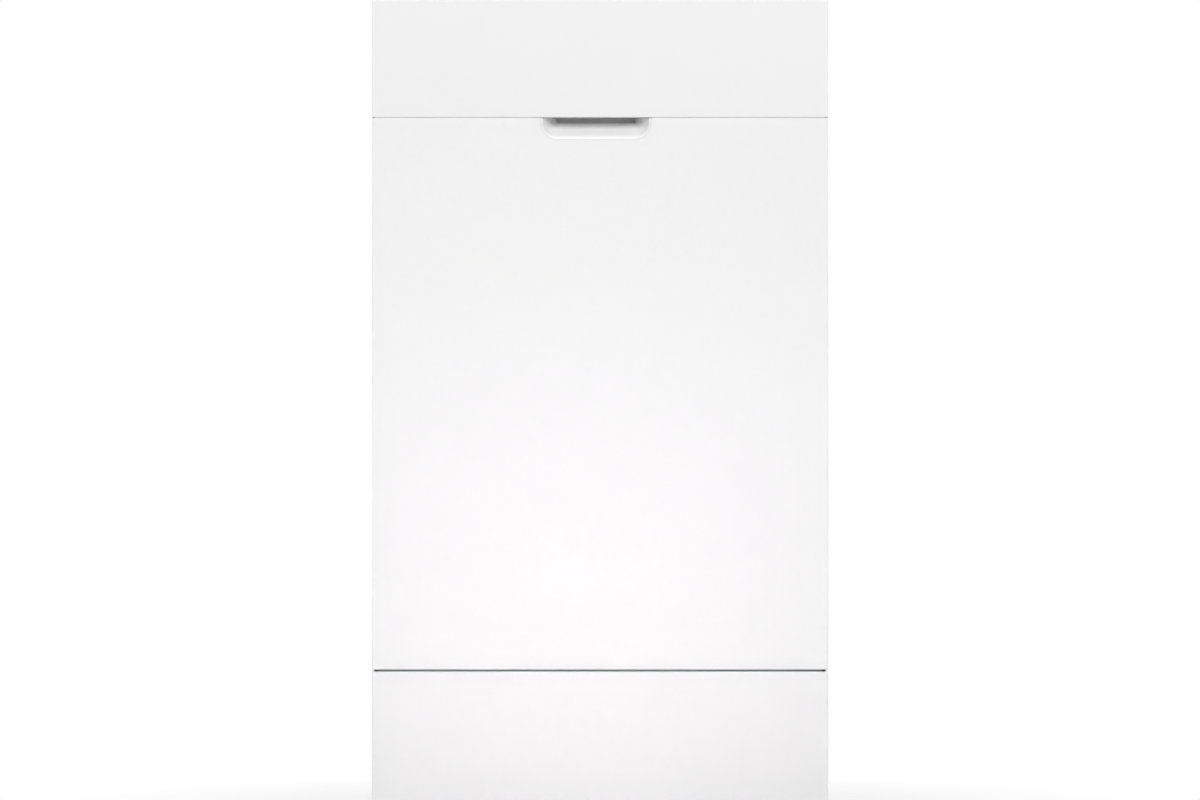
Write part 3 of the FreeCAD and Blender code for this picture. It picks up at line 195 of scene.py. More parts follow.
enamelLook = {"shadeLow": 0.885, "shadeHigh": 0.9, "driftScale": 3.0, "peelScale": 420.0, "peelHeight": 0.000012,
              "rough": 0.36, "roughVary": 0.06, "coat": 0.12, "coatRough": 0.3}
fasciaLook = {"shadeLow": 0.88, "shadeHigh": 0.892, "driftScale": 4.0, "peelScale": 900.0, "peelHeight": 0.00001,
              "rough": 0.4, "roughVary": 0.05, "coat": 0.08, "coatRough": 0.3}
steelLook = {"dark": (0.56, 0.56, 0.555), "light": (0.66, 0.66, 0.655), "along": (0.03, 1.0, 1.0),
             "grainScale": 700.0, "cloudScale": 5.0, "rough": 0.3, "roughVary": 0.12, "cloudVary": 0.08,
             "grainHeight": 0.000012}
zincLook = {"dark": (0.44, 0.45, 0.46), "light": (0.53, 0.54, 0.55), "cellScale": 150.0, "fineScale": 500.0,
            "rough": 0.44, "roughVary": 0.14, "fineHeight": 0.00002}
pinLook = {"dark": (0.5, 0.5, 0.5), "light": (0.66, 0.66, 0.65), "along": (1.0, 0.1, 0.1), "grainScale": 900.0,
           "cloudScale": 9.0, "rough": 0.24, "roughVary": 0.1, "cloudVary": 0.05, "grainHeight": 0.00001}
railLook = {"dark": (0.58, 0.58, 0.59), "light": (0.72, 0.72, 0.73), "along": (1.0, 0.02, 1.0), "grainScale": 800.0,
            "cloudScale": 6.0, "rough": 0.28, "roughVary": 0.12, "cloudVary": 0.06, "grainHeight": 0.00001}
plasticColumns = ("dark", "light", "driftScale", "grainScale", "rough", "roughVary", "grainHeight", "coat")
plastics = {
    "base_plastic": ((0.028, 0.029, 0.031), (0.04, 0.041, 0.043), 12.0, 800.0, 0.55, 0.12, 0.00004, 0.0),
    "pump_plastic": ((0.075, 0.08, 0.09), (0.1, 0.105, 0.115), 14.0, 900.0, 0.5, 0.1, 0.00003, 0.0),
    "grey_plastic": ((0.37, 0.38, 0.39), (0.42, 0.43, 0.44), 10.0, 1100.0, 0.42, 0.08, 0.00002, 0.0),
    "coated_wire": ((0.36, 0.37, 0.385), (0.42, 0.43, 0.445), 18.0, 1500.0, 0.38, 0.1, 0.00001, 0.2),
    "seal_rubber": ((0.012, 0.012, 0.012), (0.022, 0.022, 0.022), 20.0, 1600.0, 0.68, 0.12, 0.00003, 0.0),
    "felt": ((0.02, 0.02, 0.02), (0.06, 0.06, 0.06), 220.0, 1200.0, 0.9, 0.1, 0.0004, 0.0),
    "control_black": ((0.008, 0.008, 0.009), (0.013, 0.013, 0.014), 20.0, 1500.0, 0.4, 0.1, 0.00002, 0.0),
    "keys": ((0.62, 0.62, 0.63), (0.67, 0.67, 0.68), 30.0, 1600.0, 0.36, 0.08, 0.00001, 0.0),
    "display_glass": ((0.004, 0.004, 0.005), (0.007, 0.007, 0.009), 15.0, 600.0, 0.08, 0.03, 0.000004, 0.6),
    "circuit": ((0.01, 0.09, 0.035), (0.016, 0.13, 0.05), 60.0, 700.0, 0.45, 0.1, 0.00005, 0.0),
}
finishes = {
    "white_enamel": enamel("white_enamel", enamelLook),
    "white_moulding": enamel("white_moulding", fasciaLook),
    "stainless": brushed("brushed_stainless", steelLook),
    "galvanised": zinc("galvanised_sheet", zincLook),
    "bright_pin": brushed("plated_pin", pinLook),
    "rail_steel": brushed("satin_rail", railLook),
}
for plasticName, plasticRow in plastics.items():
    finishes[plasticName] = moulded("moulded_" + plasticName, dict(zip(plasticColumns, plasticRow)))

slotOf = {sub["node"]: sub["material_slot"] for sub in frame["record"]["subparts"]}
for nodeName, nodeObject in nodes.items():
    nodeObject.data.materials.clear()
    nodeObject.data.materials.append(finishes[slotOf[nodeName]].material)
print("finishes:", len(finishes))


# Shared makers; they take millimetres
def newObject(name, data):
    made = bpy.data.objects.new(name, data)
    bpy.context.scene.collection.objects.link(made)
    return made


def fromBmesh(name, bm):
    mesh = bpy.data.meshes.new(name)
    bm.to_mesh(mesh)
    bm.free()
    return newObject(name, mesh)


def dress(piece, slotName, body, *replaced, crease=40.0):
    mesh = piece.data
    mesh.materials.clear()
    mesh.materials.append(finishes[slotName].material)
    mesh.polygons.foreach_set("material_index", [0] * len(mesh.polygons))
    mesh.polygons.foreach_set("use_smooth", [True] * len(mesh.polygons))
    mesh.set_sharp_from_angle(angle=math.radians(crease))
    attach(piece, body)
    if replaced:
        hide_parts(*replaced)


def merged(name, *parts):
    bm = bmesh.new()
    for part in parts:
        bm.from_mesh(part.data)
        bpy.data.objects.remove(part)
    return fromBmesh(name, bm)


class Rig(Tree):
    # a geometry tree with named inputs that ends in Set Material
    def __init__(self, name, **inputs):
        super().__init__(bpy.data.node_groups.new(name, "GeometryNodeTree"))
        face = self.tree.interface
        face.new_socket("Geometry", in_out="INPUT", socket_type="NodeSocketGeometry")
        self.ids = {}
        for label, value in dict(inputs, finish=None).items():
            kind = {int: "Int", float: "Float", tuple: "Vector"}.get(type(value), "Material")
            socket = face.new_socket(label, in_out="INPUT", socket_type="NodeSocket" + kind)
            if value is not None:
                socket.default_value = value
            self.ids[label] = socket.identifier
        face.new_socket("Geometry", in_out="OUTPUT", socket_type="NodeSocketGeometry")
        self.start = self.tree.nodes.new("NodeGroupInput")
        self.end = self.tree.nodes.new("NodeGroupOutput")

    def given(self, label):
        return Wire(self, self.start.outputs[label])

    def line(self, count, step):
        return self.add("GeometryNodeMeshLine", settings={"mode": "OFFSET"}, Count=count, Offset=step)

    def repeat(self, geometry, count, step):
        spread = self.add("GeometryNodeInstanceOnPoints", Points=self.line(count, step), Instance=geometry)
        return self.add("GeometryNodeRealizeInstances", Geometry=spread)

    def tube(self, path, radius, sides=8):
        ring = self.add("GeometryNodeCurvePrimitiveCircle", settings={"mode": "RADIUS"}, Resolution=sides,
                        Radius=radius)
        return self.add("GeometryNodeCurveToMesh", Curve=path, Profile_Curve=ring, Fill_Caps=True)

    def close(self, geometry):
        real = self.add("GeometryNodeRealizeInstances", Geometry=geometry)
        self.link(self.add("GeometryNodeSetMaterial", Geometry=real, Material=self.given("finish")),
                  self.end.inputs[0])
        return self

    def make(self, name, base, slotName, turn=None, **values):
        # whole numbers are counts, other numbers and steps are millimetres
        modifier = base.modifiers.new(self.tree.name, "NODES")
        modifier.node_group = self.tree
        modifier[self.ids["finish"]] = finishes[slotName].material
        for label, value in values.items():
            if isinstance(value, tuple):
                value = tuple(v * mm for v in value)
            modifier[self.ids[label]] = value * mm if isinstance(value, float) else value
        bpy.context.view_layer.update()
        mesh = bpy.data.meshes.new_from_object(base.evaluated_get(bpy.context.evaluated_depsgraph_get()))
        base.modifiers.clear()
        bpy.data.objects.remove(base)
        if turn is not None:
            mesh.transform(turn)
        return newObject(name, mesh)


def rowRig():
    rig = Rig("repeat_in_rows", columns=1, columnStep=(0.0, 0.0, 0.0), rows=1, rowStep=(0.0, 0.0, 0.0))
    column = rig.repeat(rig.given("Geometry"), rig.given("columns"), rig.given("columnStep"))
    return rig.close(rig.repeat(column, rig.given("rows"), rig.given("rowStep")))


def wireRig():
    rig = Rig("bent_wire_rows", wireRadius=0.002, columns=1, columnStep=(0.0, 0.0, 0.0))
    tube = rig.tube(rig.given("Geometry"), rig.given("wireRadius"))
    return rig.close(rig.repeat(tube, rig.given("columns"), rig.given("columnStep")))


def coilRig():
    rig = Rig("wound_coil", turns=10, coilRadius=0.008, coilLength=0.1, wireRadius=0.001)
    radius = rig.given("coilRadius")
    spiral = rig.add("GeometryNodeCurveSpiral", Resolution=14, Rotations=rig.given("turns"), Start_Radius=radius,
                     End_Radius=radius, Height=rig.given("coilLength"))
    return rig.close(rig.tube(spiral, rig.given("wireRadius"), sides=6))


def ringRig():
    rig = Rig("repeat_in_ring", count=12)
    count = rig.given("count")
    angle = rig.add("GeometryNodeInputIndex") * count.math("DIVIDE", 2 * math.pi, count)
    return rig.close(rig.add("GeometryNodeInstanceOnPoints", Points=rig.line(count, (0.0, 0.0, 0.0)),
                             Instance=rig.given("Geometry"), Rotation=rig.add("ShaderNodeCombineXYZ", Z=angle)))


def sieveRig():
    rig = Rig("sieve_holes", columns=10, rows=10, pitch=0.006, centre=(0.0, 0.0, 0.0), keepOut=0.04)
    columns, rows, pitch, centre = (rig.given(label) for label in ("columns", "rows", "pitch", "centre"))
    grid = rig.add("GeometryNodeMeshGrid", Size_X=(columns - 1.0) * pitch, Size_Y=(rows - 1.0) * pitch,
                   Vertices_X=columns, Vertices_Y=rows)
    placed = rig.add("GeometryNodeTransform", Geometry=grid, Translation=centre)
    apart = rig.add("ShaderNodeVectorMath", out="Value", settings={"operation": "DISTANCE"},
                    n0=rig.add("GeometryNodeInputPosition"), n1=centre)
    kept = rig.add("GeometryNodeDeleteGeometry", Geometry=placed,
                   Selection=apart.math("LESS_THAN", apart, rig.given("keepOut")))
    return rig.close(rig.add("GeometryNodeInstanceOnPoints", Points=kept, Instance=rig.given("Geometry")))


inRows, asWires, asCoil, inRing, asSieve = rowRig(), wireRig(), coilRig(), ringRig(), sieveRig()


def place(x, y, z):
    return Matrix.Translation(Vector((x, y, z)) * mm)


def turned(degrees, axis):
    return Matrix.Rotation(math.radians(degrees), 4, axis)


toBack, toFront = turned(-90, "X"), turned(90, "X")  # stand a Z piece along +Y or -Y


def bridge(bm, one, two, closed=False):
    # faces between two rows of points; a pole is a row of one point
    count = max(len(one), len(two))
    for k in range(count if closed else count - 1):
        n = (k + 1) % count
        corners = [one[k % len(one)], one[n % len(one)], two[n % len(two)], two[k % len(two)]]
        bm.faces.new(list(dict.fromkeys(corners)))


def bend(corners, radius, closed=False, steps=6):
    # straight runs with an arc of that radius at each corner
    points = []
    corners = [Vector(corner) for corner in corners]
    for i, here in enumerate(corners):
        if not closed and i in (0, len(corners) - 1):
            points.append(here)
            continue
        one = (corners[i - 1] - here).normalized()
        two = (corners[(i + 1) % len(corners)] - here).normalized()
        halfAngle = one.angle(two) / 2
        centre = here + (one + two).normalized() * radius / math.sin(halfAngle)
        first = here + one * radius / math.tan(halfAngle) - centre
        last = here + two * radius / math.tan(halfAngle) - centre
        points += [centre + first.slerp(last, k / steps).normalized() * radius for k in range(steps + 1)]
    return points


def frontLoop(low, high, level, corner, steps):
    # a rounded rectangle in the plane y = level, between two (x, z) corners
    (x0, z0), (x1, z1) = low, high
    return bend([(x0, level, z0), (x1, level, z0), (x1, level, z1), (x0, level, z1)], corner, True, steps)


def curveOf(name, points, closed=False):
    curve = bpy.data.curves.new(name, "CURVE")
    curve.dimensions = "3D"
    spline = curve.splines.new("POLY")
    spline.points.add(len(points) - 1)
    for slot, point in zip(spline.points, points):
        slot.co = (*(Vector(point) * mm), 1.0)
    spline.use_cyclic_u = closed
    return newObject(name, curve)


def lathe(name, profile, segments, seat=None):
    # (radius, height) pairs from one pole or edge to the other, turned about Z
    bm = bmesh.new()
    rings = []
    for radius, height in profile:
        angles = [2 * math.pi * k / segments for k in range(segments if radius else 1)]
        rings.append([bm.verts.new(Vector((radius * math.cos(a), radius * math.sin(a), height)) * mm)
                      for a in angles])
    for low, high in zip(rings, rings[1:]):
        bridge(bm, low, high, True)
    bmesh.ops.remove_doubles(bm, verts=bm.verts, dist=1e-7)
    bmesh.ops.recalc_face_normals(bm, faces=bm.faces)
    made = fromBmesh(name, bm)
    made.data.transform(seat or Matrix.Identity(4))
    return made


def bar(name, low, high, soft, segments=2):
    # a bar between two corners, with softened edges
    bm = bmesh.new()
    bmesh.ops.create_cube(bm, size=1.0)
    for vert in bm.verts:
        vert.co = Vector([a + (share + 0.5) * (b - a) for a, b, share in zip(low, high, vert.co)]) * mm
    bmesh.ops.bevel(bm, geom=bm.edges[:], offset=soft * mm, segments=segments, affect="EDGES", profile=0.5)
    return fromBmesh(name, bm)


def sweepLoop(name, path, profile, up):
    # a closed profile of (outward, up) pairs carried round a closed flat path
    bm = bmesh.new()
    up = Vector(up)
    rings = []
    for i, point in enumerate(path):
        out = (path[(i + 1) % len(path)] - path[i - 1]).normalized().cross(up)
        rings.append([bm.verts.new((point + out * o + up * u) * mm) for o, u in profile])
    for one, two in zip(rings, rings[1:] + rings[:1]):
        bridge(bm, one, two, True)
    bmesh.ops.recalc_face_normals(bm, faces=bm.faces)
    return fromBmesh(name, bm)


def spread(name, base, slotName, body, columns, step, rows=1, rowStep=(0, 0, 0), crease=40.0):
    made = inRows.make(name, base, slotName, columns=columns, columnStep=step, rows=rows, rowStep=rowStep)
    dress(made, slotName, body, crease=crease)


# Handle pocket: a moulded ramp under the fascia with the finger slot behind it
pocket = {"offset": -4.0, "half": 52.25, "radius": 14.0, "bottom": 677.2, "top": 696.3, "face": -285.0, "rim": 0.85,
          "depth": 21.0, "rampHeight": 18.0, "rampBow": 0.95, "sideRun": 12.0, "valley": 5.0, "valleyStart": 2.0,
          "slotHalf": 39.0, "slotFloor": 691.8, "slotBack": -254.0, "neckTop": 715.0, "neckFront": -279.9,
          "wall": 0.9, "columns": 26, "sideColumns": 8, "cornerStep": 7.5, "cornerSteps": 12, "highRows": (15.4, 17.0),
          "lip": ((0.2, 0.76), (1.45, 0.26), (1.7, 0.18), (1.88, 0.22), (2.0, 0.5), (2.0, 1.4))}
slotRise = pocket["slotFloor"] - pocket["bottom"]
slotShare = pocket["slotHalf"] / pocket["half"]
tiny = 1e-6


def pocketDepth(x, t):
    # the lesser of the ramp and the side slope, with a soft valley between them
    p = pocket
    half, radius, start = p["half"], p["radius"], p["rim"]
    across, low = abs(x) - (half - radius), radius - t
    inset = radius - math.hypot(across, low) if across > 0 and low > 0 else min(half - abs(x), t)
    fall = p["depth"] - start
    ramp = start + fall * min(t / p["rampHeight"], 1.0) ** p["rampBow"]
    side = start + fall * min(max(inset, 0.0) / p["sideRun"], 1.0)
    gap = max(1.0 - abs(ramp - side) / p["valley"], 0.0)
    return min(ramp, side) - gap * gap * p["valley"] / 4 * min(inset / p["valleyStart"], 1.0)


def pocketVert(bm, x, depth, z):
    return bm.verts.new(Vector((x + pocket["offset"], pocket["face"] + depth, z)) * mm)


def shell(name, bm):
    # a thin wall behind a shallow surface, whose hollow side is turned to the front
    bmesh.ops.recalc_face_normals(bm, faces=bm.faces)
    if sum(f.normal.y * f.calc_area() for f in bm.faces) > 0:
        bmesh.ops.reverse_faces(bm, faces=bm.faces)
    made = fromBmesh(name, bm)
    solid = made.modifiers.new("wall", "SOLIDIFY")
    solid.thickness, solid.offset = pocket["wall"] * mm, -1.0
    bpy.context.view_layer.update()
    made.data = bpy.data.meshes.new_from_object(made.evaluated_get(bpy.context.evaluated_depsgraph_get()))
    made.modifiers.clear()
    return made


def pocketLines():
    # grid lines of the pocket: heights over its lower edge, and shares of its width
    p = pocket
    corner = [p["radius"] * (1 - math.cos(math.radians(p["cornerStep"] * k))) for k in range(p["cornerSteps"])]
    rises = sorted({*corner, slotRise, *p["highRows"], p["top"] - p["bottom"]})
    outer = [slotShare + (1 - slotShare) * k / p["sideColumns"] for k in range(p["sideColumns"] + 1)]
    inner = [-slotShare + 2 * slotShare * k / p["columns"] for k in range(1, p["columns"])]
    return rises, [-s for s in reversed(outer)] + inner + outer


def pocketMoulding(rises, shares):
    p = pocket
    half, radius = p["half"], p["radius"]
    bm = bmesh.new()
    grid = []
    for t in rises:
        wide = half if t >= radius else half - radius + math.sqrt(max(radius ** 2 - (radius - t) ** 2, 0.0))
        grid.append([pocketVert(bm, wide * s, pocketDepth(wide * s, t), p["bottom"] + t) for s in shares])
    for t, low, high in zip(rises, grid, grid[1:]):
        for k in range(len(shares) - 1):
            overSlot = abs(shares[k] + shares[k + 1]) / 2 < slotShare and t >= slotRise - tiny
            if not overSlot:
                bm.faces.new((low[k], low[k + 1], high[k + 1], high[k]))
    # rings round the lip, from the inner edge out to the door skin
    before = [row[0] for row in reversed(grid)] + grid[0][1:-1] + [row[-1] for row in grid]
    flat = [Vector((v.co.x / mm - p["offset"], 0.0, v.co.z / mm)) for v in before]
    for offset, depth in p["lip"]:
        ring = []
        for i, point in enumerate(flat):
            run = flat[min(i + 1, len(flat) - 1)] - flat[max(i - 1, 0)]
            out = Vector((run.z, 0.0, -run.x)).normalized() * offset
            ring.append(pocketVert(bm, point.x + out.x, depth, point.z + out.z))
        bridge(bm, before, ring)
        before = ring
    dress(shell("handle_pocket_moulding", bm), "white_moulding", "door", "handle_pocket", crease=24.0)


def fingerSlot(rises, shares):
    # floor, back, roof and front of the slot behind the fascia, then its two ends
    p = pocket
    back, neck = p["slotBack"] - p["face"], p["neckFront"] - p["face"]
    edge = [s * p["half"] for s in shares if abs(s) <= slotShare + tiny]
    bm = bmesh.new()
    rows = [[pocketVert(bm, x, pocketDepth(x, slotRise), p["slotFloor"]) for x in edge]]
    for depth, z in ((back, p["slotFloor"]), (back, p["neckTop"]), (neck, p["neckTop"]), (neck, p["top"])):
        rows.append([pocketVert(bm, x, depth, z) for x in edge])
    for one, two in zip(rows, rows[1:]):
        bridge(bm, one, two)
    for i in (0, -1):
        up = [pocketVert(bm, edge[i], pocketDepth(edge[i], t), p["bottom"] + t) for t in rises if t > slotRise + tiny]
        bm.faces.new([rows[0][i]] + up + [row[i] for row in rows[:0:-1]])
    dress(shell("finger_slot_lining", bm), "white_moulding", "door", crease=50.0)


pocketMoulding(*pocketLines())
fingerSlot(*pocketLines())
print("handle pocket moulded")

# Racks of bent and welded wire, one table for each
racks = {"lower_rack": {"half": 172.1, "front": -197.1, "back": 227.1, "floor": 250.0, "rim": 360.0, "band": 322.0,
                        "tineRows": (-90.0, 60.0, 3), "tineHeight": 84.0},
         "upper_rack": {"half": 170.1, "front": -207.1, "back": 227.1, "floor": 512.0, "rim": 640.0, "band": 568.0,
                        "tineRows": (-88.8, 177.6, 2), "tineHeight": 52.0}}
rackWire = {"radius": 2.0, "bend": 11.0, "rimBend": 24.0, "step": 4.1, "inset": 22.1, "crossCount": 13, "longCount": 6,
            "tineInset": 35.6, "tineCount": 14, "tineRise": 6.2, "tineRadius": 1.75, "tineSides": 8,
            "tipAngles": (0.5, 1.0)}


def rackOf(nodeName, r):
    w = rackWire
    half, front, back, floor = r["half"], r["front"], r["back"], r["floor"]
    top, longZ = r["rim"] - w["step"] / 2, floor + w["step"]
    parts = []

    def wires(name, corners, radius, closed=False, columns=1, step=(0, 0, 0)):
        base = curveOf(name, bend(corners, radius, closed), closed)
        parts.append(asWires.make(name, base, "coated_wire", wireRadius=w["radius"], columns=columns,
                                  columnStep=step))

    def pitch(inset, count):
        return (back - front - 2 * inset) / (count - 1)

    x, y = w["inset"] - half, front + w["inset"]
    wires("cross", [(-half, y, top), (-half, y, floor), (half, y, floor), (half, y, top)], w["bend"],
          columns=w["crossCount"], step=(0, pitch(w["inset"], w["crossCount"]), 0))
    wires("long", [(x, front, top), (x, front, longZ), (x, back, longZ), (x, back, top)], w["bend"],
          columns=w["longCount"], step=(-2 * x / (w["longCount"] - 1), 0, 0))
    for name, out in (("rim", 0.0), ("band", w["step"])):
        wide, near, far, z = half + out, front - out, back + out, r[name]
        wires(name, [(-wide, near, z), (wide, near, z), (wide, far, z), (-wide, far, z)], w["rimBend"], True)
    foot, thick = floor + w["tineRise"], w["tineRadius"]
    tip = foot + r["tineHeight"]
    profile = [(0.0, foot), (thick, foot), (thick, tip - thick)]
    profile += [(thick * math.cos(a), tip - thick + thick * math.sin(a)) for a in w["tipAngles"]] + [(0.0, tip)]
    firstX, pitchX, rows = r["tineRows"]
    tine = lathe("tine", profile, w["tineSides"], place(firstX, front + w["tineInset"], 0.0))
    parts.append(inRows.make("tines", tine, "coated_wire", columns=w["tineCount"],
                             columnStep=(0, pitch(w["tineInset"], w["tineCount"]), 0), rows=rows,
                             rowStep=(pitchX, 0, 0)))
    dress(merged(nodeName + "_wires", *parts), "coated_wire", nodeName, nodeName)


for rackName, rackTable in racks.items():
    rackOf(rackName, rackTable)
print("racks bent")

# Cutlery basket: slatted walls, three bands, dividers and a carrying bar
basket = {"low": (104.0, -185.0, 256.2), "high": (162.0, 35.0, 368.2), "corner": 6.0, "cornerSteps": 5, "wall": 2.0,
          "soft": 0.5, "bands": ((256.2, 262.0), (308.0, 313.0), (361.0, 368.2)), "slat": 2.6, "slatPitch": 8.0,
          "slatSink": 0.2, "slatStart": 8.0, "slatEnd": 2.0, "longCount": 26, "shortCount": 6, "floorCount": 27,
          "floorStart": 6.0, "floorPitch": 7.8, "floorRise": (0.3, 2.2), "dividers": 3, "dividerCount": 7,
          "dividerStart": 5.0, "dividerHalf": 1.0, "dividerTop": (14.0, 9.0), "dividerDrop": 12.0, "barHalf": 4.0,
          "barRise": (6.0, 0.6)}


def cutleryBasket():
    b = basket
    (x0, y0, z0), (x1, y1, z1) = b["low"], b["high"]
    wall, slat, pitch, sink = b["wall"], b["slat"], b["slatPitch"], b["slatSink"]
    path = bend([(x0, y0, 0), (x1, y0, 0), (x1, y1, 0), (x0, y1, 0)], b["corner"], True, b["cornerSteps"])
    parts = [sweepLoop("band", path, [(0.0, low), (0.0, high), (-wall, high), (-wall, low)], (0, 0, 1))
             for low, high in b["bands"]]

    def slats(name, low, high, columns=1, step=(0, 0, 0), rows=1, rowStep=(0, 0, 0)):
        base = bar(name, low, high, b["soft"], segments=1)
        parts.append(inRows.make(name, base, "grey_plastic", columns=columns, columnStep=step, rows=rows,
                                 rowStep=rowStep))

    near, low, high = b["slatStart"], z0 + b["slatEnd"], z1 - b["slatEnd"]
    slats("long_slats", (x0 + sink, y0 + near, low), (x0 + wall - sink, y0 + near + slat, high), b["longCount"],
          (0, pitch, 0), 2, (x1 - x0 - wall, 0, 0))
    slats("short_slats", (x0 + near, y0 + sink, low), (x0 + near + slat, y0 + wall - sink, high), b["shortCount"],
          (pitch, 0, 0), 2, (0, y1 - y0 - wall, 0))
    first, (under, over), edge = y0 + b["floorStart"], b["floorRise"], wall / 2
    slats("floor_slats", (x0 + edge, first, z0 + under), (x1 - edge, first + slat, z0 + over), b["floorCount"],
          (0, b["floorPitch"], 0))
    gap = (y1 - y0) / (b["dividers"] + 1)
    front, back, start = y0 + gap - b["dividerHalf"], y0 + gap + b["dividerHalf"], x0 + b["dividerStart"]
    slats("divider_slats", (start, front, z0 + edge), (start + slat, back, z1 - b["dividerDrop"]), b["dividerCount"],
          (pitch, 0, 0), b["dividers"], (0, gap, 0))
    under, over = b["dividerTop"]
    slats("divider_tops", (x0 + edge, front, z1 - under), (x1 - edge, back, z1 - over), rows=b["dividers"],
          rowStep=(0, gap, 0))
    middle, (under, over) = (x0 + x1) / 2, b["barRise"]
    slats("carrying_bar", (middle - b["barHalf"], y0 + edge, z1 - under), (middle + b["barHalf"], y1 - edge, z1 - over))
    dress(merged("cutlery_basket_lattice", *parts), "grey_plastic", "lower_rack", "cutlery_basket")


cutleryBasket()
print("cutlery basket slatted")

# Door seal: a bulb with two lips, in one loop round the tub's mouth
seal = {"low": (-209.0, 182.0), "high": (209.0, 789.0), "corner": 16.0, "cornerSteps": 8, "wall": -236.0,
        "profile": ((-4.0, 0.0), (4.0, 0.0), (4.0, 0.9), (2.6, 1.3), (3.0, 2.4), (2.2, 3.3), (0.8, 3.65), (-0.8, 3.65),
                    (-2.2, 3.3), (-3.0, 2.4), (-2.6, 1.3), (-4.0, 0.9))}


def doorSeal():
    path = frontLoop(seal["low"], seal["high"], seal["wall"], seal["corner"], seal["cornerSteps"])
    dress(sweepLoop("door_seal_loop", path, seal["profile"], (0, -1, 0)), "seal_rubber", "cabinet", "door_seal",
          crease=60.0)


doorSeal()
print("door seal laid")

# Balance springs with their ropes to the door's hinge arms
spring = {"x": 208.7, "z": 108.0, "front": -171.4, "length": 220.0, "radius": 6.8, "wire": 1.15, "turns": 66,
          "eye": (-268.5, 188.5), "rope": 1.5, "bendFrom": 0.8, "runs": 30}


def doorSprings():
    s = spring
    hooks = {label: Vector((side * s["x"], s["front"], s["z"])) for side, label in ((-1, "left"), (1, "right"))}
    coils = []
    for hook in hooks.values():
        seat = curveOf("seat", [(0, 0, 0), (0, 0, s["length"])])
        coils.append(asCoil.make("coil", seat, "galvanised", place(*hook) @ toBack, turns=s["turns"],
                                 coilRadius=s["radius"], coilLength=s["length"], wireRadius=s["wire"]))
    dress(merged("door_spring_coils", *coils), "galvanised", "cabinet", "door_springs")
    for label, hook in hooks.items():
        eye = Vector((hook.x, *s["eye"]))
        run = eye - hook
        points = [hook + run * k / s["runs"] for k in range(s["runs"] + 1)]
        rope = asWires.make("spring_rope_" + label, curveOf("run", points), "pump_plastic", wireRadius=s["rope"],
                            columns=1)
        rope.data.materials.clear()
        rope.data.materials.append(finishes["pump_plastic"].material)
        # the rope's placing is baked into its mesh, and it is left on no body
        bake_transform(rope)


doorSprings()
print("springs wound")

# Small fittings: screws, sieve holes drawn as dots of painted shade, nozzles, pressed beads and lights
screws = {"liner_screws": {"body": "door", "x": 218.0, "z": 232.0, "face": -240.0, "radius": 3.0, "height": 1.2,
                           "count": 5, "pitch": 130.0},
          "rear_screws": {"body": "cabinet", "x": 172.0, "z": 190.0, "face": 280.0, "radius": 4.2, "height": 2.0,
                          "count": 6, "pitch": 112.8}}
screwForm = {"sides": 12, "socket": 0.42, "socketEdge": 1.1, "lobe": 0.74, "lobeAngle": 30.0,
             "head": ((0.0, 0.35), (0.42, 0.35), (0.4368, 0.97), (0.72, 0.9), (0.96, 0.55), (1.0, 0.0), (0.0, 0.0))}


def sized(form, radius, height):
    return [(radius * r, height * h) for r, h in form]


def screwHead(radius, height, seat):
    # pan head with a six-lobed socket
    c = screwForm
    made = lathe("screw", sized(c["head"], radius, height), c["sides"])
    for vert in made.data.vertices:
        x, y = vert.co.x, vert.co.y
        inSocket = 0.0 < math.hypot(x, y) < radius * c["socket"] * c["socketEdge"] * mm
        if inSocket and round(math.degrees(math.atan2(y, x)) / c["lobeAngle"]) % 2:
            vert.co.x, vert.co.y = x * c["lobe"], y * c["lobe"]
    made.data.transform(seat)
    return made


def fitScrews():
    for name, s in screws.items():
        head = screwHead(s["radius"], s["height"], place(-s["x"], s["face"], s["z"]) @ toBack)
        spread(name, head, "bright_pin", s["body"], s["count"], (0, 0, s["pitch"]), 2, (2 * s["x"], 0, 0), crease=35.0)


sieve = {"columns": 29, "rows": 17, "pitch": 6.2, "centre": (45.0, -95.0, 174.0), "radius": 1.5, "keepOut": 42.0,
         "top": 0.03, "sink": 0.2, "sides": 8}


def fitSieve():
    s = sieve
    # black discs flush with the filter plate: painted shade standing for the dark inside of the sieve's holes
    dot = lathe("painted_hole_dot", [(0.0, s["top"]), (s["radius"], s["top"]), (s["radius"], -s["sink"]), (0.0, -s["sink"])],
                s["sides"])
    holes = asSieve.make("sieve_holes", dot, "control_black", columns=s["columns"], rows=s["rows"], pitch=s["pitch"],
                         centre=s["centre"], keepOut=s["keepOut"])
    dress(holes, "control_black", "cabinet")


nozzles = {"lower_spray_arm": {"first": 58.0, "pitch": 26.0, "count": 5, "top": 200.3, "shift": 7.0, "radius": 4.2,
                               "height": 1.1},
           "upper_spray_arm": {"first": 52.0, "pitch": 25.0, "count": 5, "top": 495.8, "shift": 6.0, "radius": 3.8,
                               "height": 1.0}}
nozzleForm = {"axisY": 10.0, "sides": 12,
              "rim": ((0.0, 0.15), (0.42, 0.2), (0.5, 0.85), (0.62, 1.0), (0.8, 0.85), (1.0, 0.0), (0.0, 0.0))}


def fitNozzles():
    for body, s in nozzles.items():
        rows = []
        for side in (-1, 1):
            jet = lathe("jet", sized(nozzleForm["rim"], s["radius"], s["height"]), nozzleForm["sides"],
                        place(side * s["first"], nozzleForm["axisY"] + side * s["shift"], s["top"]))
            rows.append(inRows.make("jets", jet, "grey_plastic", columns=s["count"],
                                    columnStep=(side * s["pitch"], 0, 0)))
        dress(merged(body + "_jets", *rows), "grey_plastic", body, crease=60.0)


